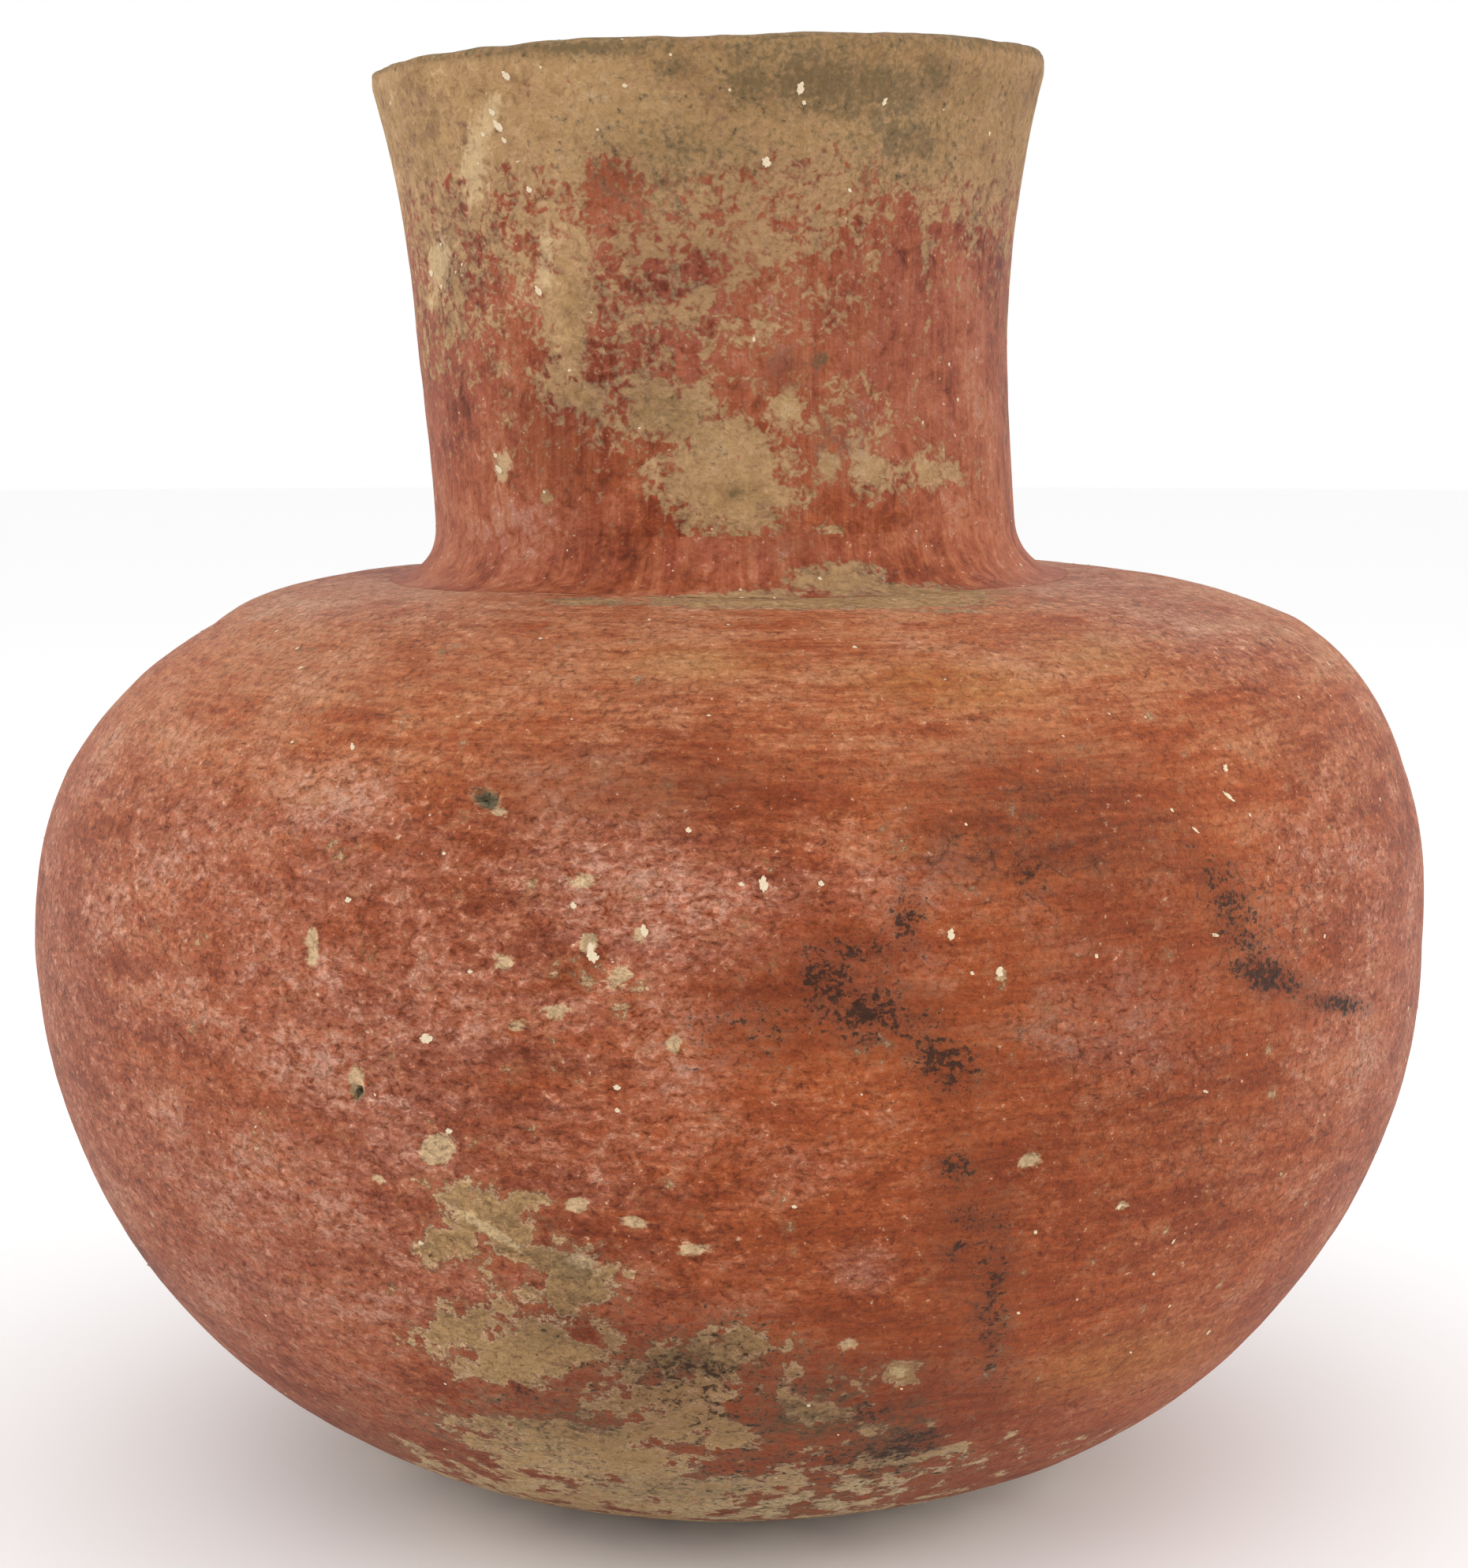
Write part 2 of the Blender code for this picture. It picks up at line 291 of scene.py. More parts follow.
def ring_tree():
    """Nodes that turn a cut face round the upright axis, then leave it as uneven as a hand leaves it."""
    tree = bpy.data.node_groups.new("Turned Clay", "GeometryNodeTree")
    sockets = {}
    for name, kind in (
        ("Section", "Geometry"),
        ("Around", "Int"),
        ("Rows", "Int"),
        ("Strips", "Int"),
        ("Unevenness", "Float"),
        ("Tool Marks", "Float"),
        ("Seed", "Float"),
        ("Clay", "Material"),
    ):
        sockets[name] = tree.interface.new_socket(name, in_out="INPUT", socket_type=f"NodeSocket{kind}")
    tree.interface.new_socket("Clay", in_out="OUTPUT", socket_type="NodeSocketGeometry")
    group = tree.nodes.new("NodeGroupInput")
    given = {name: Wire(tree, group.outputs[i]) for i, name in enumerate(sockets)}
    start = Wire(tree)

    around = given["Around"]
    rows = given["Rows"]
    grid = start.node("GeometryNodeMeshGrid", None, {"Vertices X": around + 1.0, "Vertices Y": rows})
    flat = Wire(tree, grid.socket.node.outputs["UV Map"])
    index = start.node("GeometryNodeInputIndex")
    column = start.maths("FLOOR", (index + 0.5) / rows)
    row = index - column * rows
    angle = column / around * math.tau + math.pi / 2
    east = start.maths("COSINE", angle)
    north = start.maths("SINE", angle)

    def of_section(name, kind):
        field = start.node("GeometryNodeInputNamedAttribute", {"data_type": kind}, {"Name": name})
        inputs = {"Geometry": given["Section"], "Value": field, "Index": row}
        return start.node("GeometryNodeSampleIndex", {"data_type": kind}, inputs)

    def turned(flat_vector):
        parts = start.node("ShaderNodeSeparateXYZ", None, {0: flat_vector}).socket.node.outputs
        radius, height = Wire(tree, parts["X"]), Wire(tree, parts["Z"])
        return start.vector(radius * east, radius * north, height)

    place = turned(of_section("position", "FLOAT_VECTOR"))
    outward = turned(of_section("outward", "FLOAT_VECTOR"))
    inside = of_section("inside", "FLOAT")
    drift = start.vector(given["Seed"], 0.0, 0.0)
    spot = start.node("ShaderNodeVectorMath", {"operation": "ADD"}, {0: place, 1: drift})
    swell = start.noise(spot, SWELLS, 1.0) * given["Unevenness"]
    marks = start.noise(spot, TOOL_MARKS, 2.0) * given["Tool Marks"] * (1.0 + inside * 2.0)
    uneven = (swell + marks) * of_section("freedom", "FLOAT")
    push = start.node("ShaderNodeVectorMath", {"operation": "SCALE"}, {0: outward, "Scale": uneven})
    parts = start.node("ShaderNodeSeparateXYZ", None, {0: place}).socket.node.outputs
    sideways = Wire(tree, parts["X"])
    right = (sideways + start.maths("SQRT", sideways * sideways + LIFT_EASE**2)) * 0.5
    climb = sideways * of_section("tilt", "FLOAT") + right * of_section("lift", "FLOAT")
    sway = start.vector(of_section("sway", "FLOAT"), 0.0, climb)
    moved = start.node("ShaderNodeVectorMath", {"operation": "ADD"}, {0: place, 1: push})
    moved = start.node("ShaderNodeVectorMath", {"operation": "ADD"}, {0: moved, 1: sway})
    shape = start.node("GeometryNodeSetPosition", None, {"Geometry": grid, "Position": moved})
    for name, kind, value in (
        ("along", "FLOAT", of_section("along", "FLOAT")),
        ("inside", "FLOAT", inside),
        ("outward", "FLOAT_VECTOR", outward),
    ):
        inputs = {"Geometry": shape, "Name": name, "Value": value}
        shape = start.node("GeometryNodeStoreNamedAttribute", {"data_type": kind}, inputs)

    ends = start.node("ShaderNodeSeparateXYZ", None, {0: flat}).socket.node.outputs
    turn, rise = Wire(tree, ends["X"]), of_section("rise", "FLOAT")
    face_turn = start.node("GeometryNodeFieldOnDomain", {"domain": "FACE", "data_type": "FLOAT"}, {0: turn})
    strip = start.maths("FLOOR", face_turn * given["Strips"])
    unwrapped = start.vector(turn * given["Strips"] - strip, (strip + rise) / given["Strips"], 0.0)
    inputs = {"Geometry": shape, "Name": "OFBake", "Value": unwrapped}
    shape = start.node("GeometryNodeStoreNamedAttribute", {"data_type": "FLOAT2", "domain": "CORNER"}, inputs)

    shape = start.node("GeometryNodeMergeByDistance", None, {"Geometry": shape, "Distance": 1e-6})
    shape = start.node("GeometryNodeSetShadeSmooth", None, {"Geometry": shape})
    shape = start.node("GeometryNodeRealizeInstances", None, {"Geometry": shape})
    shape = start.node("GeometryNodeSetMaterial", None, {"Geometry": shape, "Material": given["Clay"]})
    output = tree.nodes.new("NodeGroupOutput")
    tree.links.new(shape.socket, output.inputs[0])
    return tree, {name: socket.identifier for name, socket in sockets.items()}


def settled(piece):
    """Leaves a piece with the mesh that its nodes make."""
    given = piece.data
    graph = bpy.context.evaluated_depsgraph_get()
    piece.data = bpy.data.meshes.new_from_object(piece.evaluated_get(graph))
    piece.data.name = piece.name
    piece.modifiers.clear()
    bpy.data.meshes.remove(given)


turned_clay, turned_clay_inputs = ring_tree()


def clay_ring(name, section, material, around, strips, unevenness=0.0004, tool_marks=0.00008):
    """A piece of the jar: its section turned round the axis."""
    mesh = bpy.data.meshes.new(name)
    heights = section.points[:, 1]
    flat = np.zeros(len(heights))
    mesh.from_pydata(np.stack([section.points[:, 0], flat, heights], axis=1), [], [])
    way_out = np.stack([section.outward[:, 0], flat, section.outward[:, 1]], axis=1)
    mesh.attributes.new("outward", "FLOAT_VECTOR", "POINT").data.foreach_set("vector", way_out.ravel())
    steps = np.linalg.norm(np.diff(section.points, axis=0), axis=1)
    rise = np.concatenate([[0.0], np.cumsum(steps) / steps.sum()])
    for label, values in (
        ("along", section.along),
        ("inside", section.inside),
        ("sway", np.interp(heights, *zip(*SWAY))),
        ("tilt", np.interp(heights, *zip(*TILT))),
        ("lift", np.interp(heights, *zip(*LIFT))),
        ("freedom", np.interp(heights, *zip(*FREEDOM))),
        ("rise", rise),
    ):
        mesh.attributes.new(label, "FLOAT", "POINT").data.foreach_set("value", values)
    ring = bpy.data.objects.new(name, mesh)
    bpy.context.scene.collection.objects.link(ring)
    turning = ring.modifiers.new("Turned Clay", "NODES")
    turning.node_group = turned_clay
    for key, value in (
        ("Around", around),
        ("Rows", len(heights)),
        ("Strips", strips),
        ("Unevenness", unevenness),
        ("Tool Marks", tool_marks),
        ("Seed", 3.0),
        ("Clay", material),
    ):
        turning[turned_clay_inputs[key]] = value
    settled(ring)
    return ring


class Mark(NamedTuple):
    """A mark on the jar, by its middle and half its size in the photograph's pixels, and its turn in degrees.

    crisp is how sharply it ends or, where slip is rubbed, how much.
    """

    x: float
    y: float
    wide: float
    tall: float
    turn: float = 0.0
    crisp: float = 1.0


# Buff clay laid bare low on the jar: worn places round the foot, and flakes above them
BARE_LOW = [
    Mark(612, 1540, 70, 32, 18, 1.2),
    Mark(562, 1578, 36, 20, -10, 1.1),
    Mark(668, 1522, 26, 16, 0, 1.0),
    Mark(735, 1628, 50, 30, -32, 1.1),
    Mark(700, 1598, 34, 18, 30, 0.9),
    Mark(772, 1610, 30, 12, -50, 0.8),
    Mark(690, 1716, 76, 36, -12, 1.1),
    Mark(636, 1742, 60, 24, 20, 0.9),
    Mark(880, 1722, 80, 28, -12, 0.6),
    Mark(932, 1700, 38, 20, 0, 0.9),
    Mark(850, 1775, 100, 44, 0, 0.45),
    Mark(745, 1845, 170, 56, -4, 0.55),
    Mark(850, 1895, 220, 34, 2, 0.5),
    Mark(600, 1690, 50, 22, -20, 0.5),
    Mark(1040, 1796, 50, 14, 10, 0.5),
    Mark(1142, 1742, 18, 12, 0, 0.6),
    Mark(1130, 1856, 80, 12, -10, 0.4),
]

# Slip that is rubbed thinner than around it or, below 0, was spared
RUBBED_BODY = [
    Mark(780, 1830, 300, 100, 0, 0.3),
    Mark(1080, 1790, 190, 90, -10, 0.2),
    Mark(660, 1640, 220, 100, 0, 0.4),
    Mark(720, 1270, 130, 120, 0, 0.3),
    Mark(1140, 1735, 70, 40, 0, 0.2),
    Mark(1040, 740, 240, 30, 0, 0.45),
    Mark(655, 1776, 70, 28, 12, -1.2),
    Mark(960, 1790, 60, 26, 8, -1.0),
    Mark(720, 1680, 80, 18, 25, -0.8),
    Mark(850, 1680, 46, 18, 0, -0.6),
    Mark(560, 1830, 110, 20, 28, -0.6),
    Mark(900, 1860, 120, 12, 4, -0.6),
    Mark(830, 1590, 70, 30, 0, -0.4),
    Mark(780, 1805, 70, 16, -5, -0.6),
    Mark(700, 1872, 90, 10, 8, -0.5),
    Mark(640, 1665, 40, 14, 20, -0.5),
    Mark(860, 1835, 90, 12, 10, -0.6),
]

# Places where the slip is thin and the clay shows through as ochre
OCHRE_SPOTS = [
    Mark(1200, 868, 130, 30, 5, 1.0),
    Mark(880, 842, 100, 22, 0, 0.7),
    Mark(1420, 1725, 110, 30, -12, 0.6),
    Mark(1390, 830, 60, 20, 10, 0.5),
]

# Dark soil that stays in the worn places
LOW_GRIME = [
    Mark(865, 1725, 110, 46, -6, 0.9),
    Mark(725, 1610, 60, 24, 24, 0.6),
    Mark(700, 1690, 70, 24, 0, 0.4),
    Mark(760, 1800, 190, 50, 0, 0.35),
    Mark(1010, 1800, 90, 40, -10, 0.6),
    Mark(1130, 1830, 90, 44, -20, 0.8),
    Mark(900, 1890, 200, 22, 0, 0.5),
]

# A chalky pink bloom left by lime in the soil and the water, and painted sheen on the shoulders and at the
# left and right edges
BLOOM_AND_SHEEN = [
    Mark(470, 1400, 360, 300, 0, 0.8),
    Mark(820, 1160, 230, 140, 0, 0.8),
    Mark(330, 1620, 200, 150, 30, 1.0),
    # Painted highlights where the light catches the shoulders
    Mark(480, 745, 190, 36, -4, 0.9),
    Mark(1400, 740, 170, 36, 6, 0.9),
    Mark(1430, 1290, 80, 60, 0, 0.8),
    Mark(700, 1640, 150, 60, 10, 0.7),
    Mark(280, 1050, 130, 60, -8, 0.6),
    Mark(430, 1040, 90, 60, -8, 1.2),
    Mark(430, 1110, 110, 50, 0, 1.2),
    Mark(900, 705, 330, 45, 0, 0.7),
    Mark(850, 390, 170, 150, 0, 1.3),
    Mark(560, 470, 80, 200, 0, 0.6),
    # Painted light at the jar's left and right edges, where the light wraps round
    Mark(1760, 1250, 60, 330, 3, 0.4),
    Mark(90, 1250, 60, 330, 0, 0.4),
    Mark(1500, 790, 150, 40, 25, 0.9),
    Mark(1095, 1612, 40, 34, 0, 1.1),
    Mark(670, 680, 170, 70, 0, 1.1),
    Mark(905, 690, 40, 24, 0, 1.4),
    Mark(1150, 430, 130, 210, 0, 0.7),
]

# Dark stains: soot and black specks from the soil, with painted shade inside the pits; places that the fire
# scorched brown, with painted shade on the neck
SOOT_AND_PIT_SHADE = [
    # Painted shade inside the large pit
    Mark(608, 1005, 12, 8, 14, 1.4),
    Mark(628, 1014, 5, 4, 0, 1.4),
    # Painted shade inside the small pit
    Mark(453, 1390, 6, 7, 0, 1.2),
    Mark(1045, 1243, 46, 40, 0, 1.2),
    Mark(1095, 1285, 110, 50, 12, 0.9),
    Mark(1150, 1170, 24, 50, 0, 1.0),
    Mark(1085, 1205, 80, 30, 0, 0.8),
    Mark(1200, 1350, 60, 46, 30, 1.1),
    Mark(970, 1300, 90, 50, 0, 0.45),
    Mark(1308, 1108, 26, 20, 0, 0.9),
    Mark(1605, 1238, 64, 26, 18, 1.4),
    Mark(1560, 1150, 36, 100, -30, 0.8),
    Mark(1690, 1272, 50, 15, 8, 1.3),
    Mark(1212, 1480, 30, 36, 0, 0.8),
    Mark(1225, 1560, 34, 60, 0, 0.5),
    Mark(1260, 1640, 24, 150, 2, 0.6),
    Mark(1145, 1832, 70, 24, -18, 1.1),
    Mark(1110, 1790, 40, 20, -10, 0.7),
    Mark(1060, 1850, 100, 30, -8, 0.5),
    Mark(865, 1748, 150, 84, 0, 0.5),
    Mark(840, 1730, 50, 30, 0, 0.7),
    Mark(900, 1800, 110, 50, 0, 0.4),
    Mark(660, 1762, 24, 12, 20, 1.0),
    Mark(1000, 1860, 160, 40, 0, 0.4),
]
SCORCH_AND_SHADE = [
    Mark(1320, 1040, 230, 130, 0, 1.3),
    Mark(1420, 1260, 330, 240, 0, 0.4),
    Mark(1080, 1270, 170, 90, 10, 0.7),
    Mark(1240, 1600, 90, 220, 0, 0.6),
    Mark(860, 1000, 260, 60, 0, 0.6),
    Mark(1110, 1780, 170, 100, -8, 1.1),
    # Painted shade: the neck's right side, turned from the light
    Mark(1120, 400, 190, 260, 0, 0.35),
    Mark(1000, 470, 60, 50, 0, 0.9),
    Mark(1060, 545, 80, 90, 0, 0.6),
    Mark(1010, 690, 70, 22, 0, 0.4),
    Mark(700, 560, 60, 80, 0, 0.4),
    # Painted shade: the neck's middle
    Mark(900, 330, 150, 130, 0, 0.4),
    Mark(780, 230, 40, 50, 0, 0.5),
]

# Fine cracks in the slip, and pits where a grain has come away
CRAZING = [
    Mark(1420, 1400, 190, 130, 0, 1.0),
    Mark(1600, 1180, 130, 110, 0, 0.8),
    Mark(1300, 1060, 160, 90, 0, 0.8),
]
PITS = [
    Mark(617, 1012, 17, 10, 14, 1.0),
    Mark(453, 1386, 7, 8, 0, 1.0),
]
PIT_DEPTH = 0.0019
CHIP_DEPTH = 0.00025
FLAKED_BELOW = (0.112, 0.122)
HANDLING_FADE = 0.0015


def spread(places, facing, marks):
    """How deep inside a group of marks each place is: above 0 inside one, and -1 far from them all."""
    depth = np.full(len(places), -1.0)
    for mark in marks:
        turn = math.radians(mark.turn)
        right = places[:, 0] - mark.x
        down = places[:, 1] - mark.y
        across = (right * math.cos(turn) + down * math.sin(turn)) / mark.wide
        along = (down * math.cos(turn) - right * math.sin(turn)) / mark.tall
        depth = np.maximum(depth, np.clip(mark.crisp * (1 - np.hypot(across, along)), -1, 1))
    return np.where(facing, depth, -1.0)


def thinned(places, facing, marks):
    """How much more, or less, the slip is rubbed at each place."""
    amount = np.zeros(len(places))
    for mark in marks:
        depth = spread(places, facing, [mark._replace(crisp=1.0)])
        amount += mark.crisp * np.clip(depth * 1.5, 0, 1)
    return amount


def vertex_values(mesh, label, width=1):
    """One of a mesh's point attributes as an array."""
    values = np.empty(len(mesh.vertices) * width)
    mesh.attributes[label].data.foreach_get("value" if width == 1 else "vector", values)
    return values.reshape(-1, width) if width > 1 else values


def weathered(ring, wear_level, bare, rubbed, chips=(), grime=(), crazing=(), pits=(), grimy_from=1.0):
    """Marks a piece with what the photograph shows on it, and sinks the pits and chips into its surface."""
    mesh = ring.data
    points = vertex_values(mesh, "position", 3)
    outward = vertex_values(mesh, "outward", 3)
    outside = vertex_values(mesh, "inside") < 0.5
    to_camera = np.array(camera.location) - points
    facing = ((outward * to_camera).sum(axis=1) > 0) & outside
    places = photo_places(points)
    bare_depth = np.maximum(spread(places, facing, bare), wear_level(points))
    bare_depth += thinned(places, facing, rubbed)
    handled_edge = [grimy_from, grimy_from + HANDLING_FADE]
    handled = np.interp(vertex_values(mesh, "along"), handled_edge, [-1.0, 0.8])
    chip_depth = spread(places, facing, chips)
    pit_depth = spread(places, facing, pits)
    for label, values in (
        ("bare", bare_depth),
        ("chip", chip_depth),
        ("ochre", spread(places, facing, OCHRE_SPOTS)),
        ("bloom", spread(places, facing, BLOOM_AND_SHEEN)),
        ("soot", spread(places, facing, SOOT_AND_PIT_SHADE)),
        ("scorch", spread(places, facing, SCORCH_AND_SHADE)),
        ("grime", np.maximum(spread(places, facing, grime), handled)),
        ("crazing", spread(places, facing, crazing)),
        ("pit", pit_depth),
    ):
        mesh.attributes.new(label, "FLOAT", "POINT").data.foreach_set("value", values)
    flaked = np.maximum(np.clip(bare_depth * 3, 0, 1), np.clip(chip_depth * 2, 0, 1.5))
    flaked *= outside * np.interp(points[:, 2], FLAKED_BELOW, [1, 0])
    sunk = PIT_DEPTH * np.clip(pit_depth * 2, 0, 1) + CHIP_DEPTH * flaked
    points -= outward * sunk[:, None]
    mesh.vertices.foreach_set("co", points.ravel())
    mesh.attributes.remove(mesh.attributes["outward"])
    mesh.update()
    mesh.set_sharp_from_angle(angle=SHARP_ANGLE)


def hue(red, green, blue):
    """A colour as a screen shows it, 0 to 255, in linear light."""
    shares = np.array([red, green, blue]) / 255
    linear = np.where(shares <= 0.04045, shares / 12.92, ((shares + 0.055) / 1.055) ** 2.4)
    return (*linear, 1.0)


SLIP_TONES = [
    (0.0, hue(92, 38, 18)),
    (0.35, hue(134, 61, 30)),
    (0.6, hue(160, 79, 39)),
    (1.0, hue(196, 119, 70)),
]
CLAY_TONES = [
    (0.0, hue(84, 64, 44)),
    (0.35, hue(146, 114, 76)),
    (0.65, hue(176, 143, 98)),
    (1.0, hue(218, 197, 156)),
]
INNER_TONES = [
    (0.1, hue(98, 74, 52)),
    (0.5, hue(140, 106, 74)),
    (0.9, hue(166, 132, 94)),
]
PALE_FLAKE = hue(194, 138, 108)
DEEP_FLAKE = hue(104, 47, 26)
ROSE = hue(182, 113, 74)
CHALK_AND_SHEEN = hue(180, 128, 110)
SCUFF = hue(194, 150, 130)
MAUVE = hue(164, 96, 84)
SCORCHED_AND_SHADED = hue(92, 44, 26)
PALE_SPECK_AND_HIGHLIGHT = hue(220, 182, 152)
DARK_SPECK_AND_SHADOW = hue(62, 32, 20)
BLACK_SOOT_AND_SHADE = hue(44, 28, 18)
CHIP_BUFF = hue(206, 180, 138)
GREY_GRIME = hue(88, 74, 50)
OLIVE = hue(104, 82, 48)
OCHRE = hue(176, 116, 58)
THIN_SLIP = hue(176, 112, 74)
DEEP_RED = hue(138, 56, 44)
PIT_GREY = hue(134, 124, 98)
PIT_LIP = hue(186, 156, 118)
# Painted shade: a darker tint laid over the slip low on the jar
PAINTED_LOW_SHADE = hue(235, 228, 222)

# Scales of the patterns in the clay, from clouds as broad as a hand to single grains
CLOUDS, WEATHERING, CRUMBS, FLAKES, GRIT, GRAIN = 22.0, 60.0, 420.0, 850.0, 1100.0, 2600.0
WORN_DOTS = 960.0
CRACK_CELLS = 200.0
FLAKE_STRETCH = 1.4
CRACK_WIDTH = 0.03
RELIEF_DEPTH = 0.00045

# Heights between which a look fades in
UP_SHOULDER = (0.095, 0.13)
DOWN_NECK = (0.155, 0.135)
DOWN_BODY = (0.1, 0.01)
DOWN_BASE = (0.05, 0.0)
INTO_DIRT = (0.06, 0.03)


class ClayPatterns:
    """The patterns in a coat of slip, from clouds to grains, which its colours and its relief share."""

    def __init__(self, tree, broad_strokes, fine_strokes, drawn_out, graininess):
        self.start = Wire(tree)
        self.graininess = graininess
        self.place = self.start.node("ShaderNodeTexCoord", output="Object")
        parts = self.start.node("ShaderNodeSeparateXYZ", None, {0: self.place}).socket.node.outputs
        self.x, self.y, self.z = (Wire(tree, part) for part in parts)
        self.inside = self.attribute("inside")
        self.cloud = self.start.noise(self.place, CLOUDS, 3.0)
        rubbed = self.flattened(drawn_out)
        self.weather = self.start.noise(rubbed, WEATHERING, 7.0, 0.7)
        self.crumbs = self.start.noise(rubbed, CRUMBS, round(1 + 3 * graininess), 0.75, 0.7)
        self.grit = self.start.noise(self.place, GRIT, 2.0, 0.7)
        self.grain = self.start.noise(self.place, GRAIN, 1.0, 0.6) * graininess
        self.flakes = self.start.noise(self.flattened(FLAKE_STRETCH), FLAKES, 3.0, 0.7, 0.9) * graininess
        self.broad = self.strokes(*broad_strokes, 6.0)
        self.fine = self.strokes(*fine_strokes, 4.0)
        self.high = self.z.smooth(*UP_SHOULDER)
        self.stroke = self.fine * (self.high * 0.65 + 0.35) * (0.2 + 0.8 * graininess)
        # The chalky mask is lime bloom and, on the shoulders and edges, painted sheen
        self.bloom = self.attribute("bloom") + self.cloud * 0.4
        self.calm = self.bloom.smooth(0.1, -0.9)

    def attribute(self, label):
        return self.start.node("ShaderNodeAttribute", {"attribute_name": label}, output="Fac")

    def toned(self, value, tones):
        return self.start.node("ShaderNodeValToRGB", {"stops": tones}, {0: value})

    def flattened(self, times):
        inputs = {0: self.place, 1: (1, 1, times)}
        return self.start.node("ShaderNodeVectorMath", {"operation": "MULTIPLY"}, inputs)

    def strokes(self, around, up, detail):
        radius = self.start.maths("SQRT", self.x * self.x + self.y * self.y + 1e-8)
        rise = (self.attribute("along") + self.cloud * 0.001) * up
        vector = self.start.vector(self.x / radius * around, self.y / radius * around, rise)
        return self.start.noise(vector, 1.0, detail, 0.7)


def slip_coat(clay, tone, lift, painted_foot_light, mottling, veil_and_sheen_colour):
    """The red slip with its strokes, flakes, scuffs and specks, and how much chalky film covers it: lime, and
    in places painted sheen.
    """
    weather, crumbs, grit, grain, flakes = clay.weather, clay.crumbs, clay.grit, clay.grain, clay.flakes
    bloom, calm, stroke = clay.bloom, clay.calm, clay.stroke
    mottle = (1 - calm * 0.65) * mottling
    shade = clay.cloud * 0.2 + (weather * 0.22 + crumbs * 0.16) * mottle + clay.broad * 0.16 + stroke * 0.24
    # Painted light: the slip is lightened at the foot of the neck, in the shade of its corner with the
    # shoulder
    foot = clay.z.smooth(*DOWN_NECK) * painted_foot_light
    slip = clay.toned(shade + grain * 0.06 + clay.high * lift + foot + tone, SLIP_TONES)
    streaks = clay.broad * (clay.high * 0.5 + 0.2) + stroke * 0.6
    film = (streaks + grit * 0.2 + crumbs * 0.4 + weather * 0.4 + calm * 0.15).smooth(-0.1, 0.9) * 0.55
    slip = (film * (0.1 + 0.9 * clay.graininess)).blend(slip, ROSE)
    lifted = flakes * 0.6 + crumbs * 0.55
    slip = ((lifted + weather * 0.25).smooth(0.3, 0.7) * mottle * 0.5).blend(slip, PALE_FLAKE)
    slip = ((lifted - stroke * 0.3).smooth(-0.25, -0.75) * 0.45).blend(slip, DEEP_FLAKE)
    veil_and_sheen = (bloom * 0.7 + weather * 0.8).smooth(-0.6, 0.9)
    veil_and_sheen = (veil_and_sheen * (0.42 + crumbs * 0.4 + grit * 0.2 + flakes * 0.15)).most(0.0)
    slip = veil_and_sheen.blend(slip, veil_and_sheen_colour)
    scuffs = weather * 0.6 + crumbs * 0.5 + clay.fine * 0.15 + flakes * 0.3 + bloom * 0.3
    slip = (scuffs.smooth(0.3, 0.9) * 0.36 * (1 - calm * 0.7)).blend(slip, SCUFF)
    slip = ((grit + crumbs * 0.3).smooth(0.8, 1.0) * 0.6).blend(slip, PALE_SPECK_AND_HIGHLIGHT)
    slip = ((grain + crumbs * 0.4).smooth(-0.8, -1.1) * 0.5).blend(slip, DARK_SPECK_AND_SHADOW)
    return slip, veil_and_sheen


def bare_clay(clay, slip, depth, wear_edge):
    """The buff clay under the slip, with slip left on it, dirt, grit, painted light towards the base, and a
    painted highlight round each island.
    """
    weather, crumbs, grit, flakes = clay.weather, clay.crumbs, clay.grit, clay.flakes
    # Clay beside the slip is stained darker on the shoulder; towards the base the clay is lightened as
    # painted light, where the floor shades it
    stain_minus_painted_light = depth.smooth(0.7, 0.0) * clay.high * 0.16 - clay.z.smooth(*DOWN_BASE) * 0.4
    shade = clay.cloud * 0.2 + weather * 0.22 + crumbs * 0.25 + clay.grain * 0.1
    buff = clay.toned(shade - stain_minus_painted_light + 0.5, CLAY_TONES)
    residue = (weather * 0.4 + crumbs * 0.6 - flakes * 0.5).smooth(0.1, 0.6) * clay.graininess * 0.5
    buff = residue.blend(buff, slip)
    dirt = (weather * 0.5 + crumbs * 0.7 + flakes * 0.5).smooth(0.0, 0.7) * clay.z.smooth(*INTO_DIRT) * 0.28
    buff = dirt.blend(buff, OLIVE)
    buff = (grit.smooth(0.8, 0.95) * 0.5).blend(buff, PALE_SPECK_AND_HIGHLIGHT)
    buff = (grit.smooth(-0.7, -0.9) * (0.1 + 0.5 * clay.graininess)).blend(buff, DARK_SPECK_AND_SHADOW)
    # Painted highlight: a pale line on the clay along the edge of each island of slip
    painted_edge_highlight = depth.smooth(4 * wear_edge, wear_edge) * (0.3 * clay.graininess + flakes * 0.3)
    return painted_edge_highlight.most(0.0).blend(buff, PALE_SPECK_AND_HIGHLIGHT)


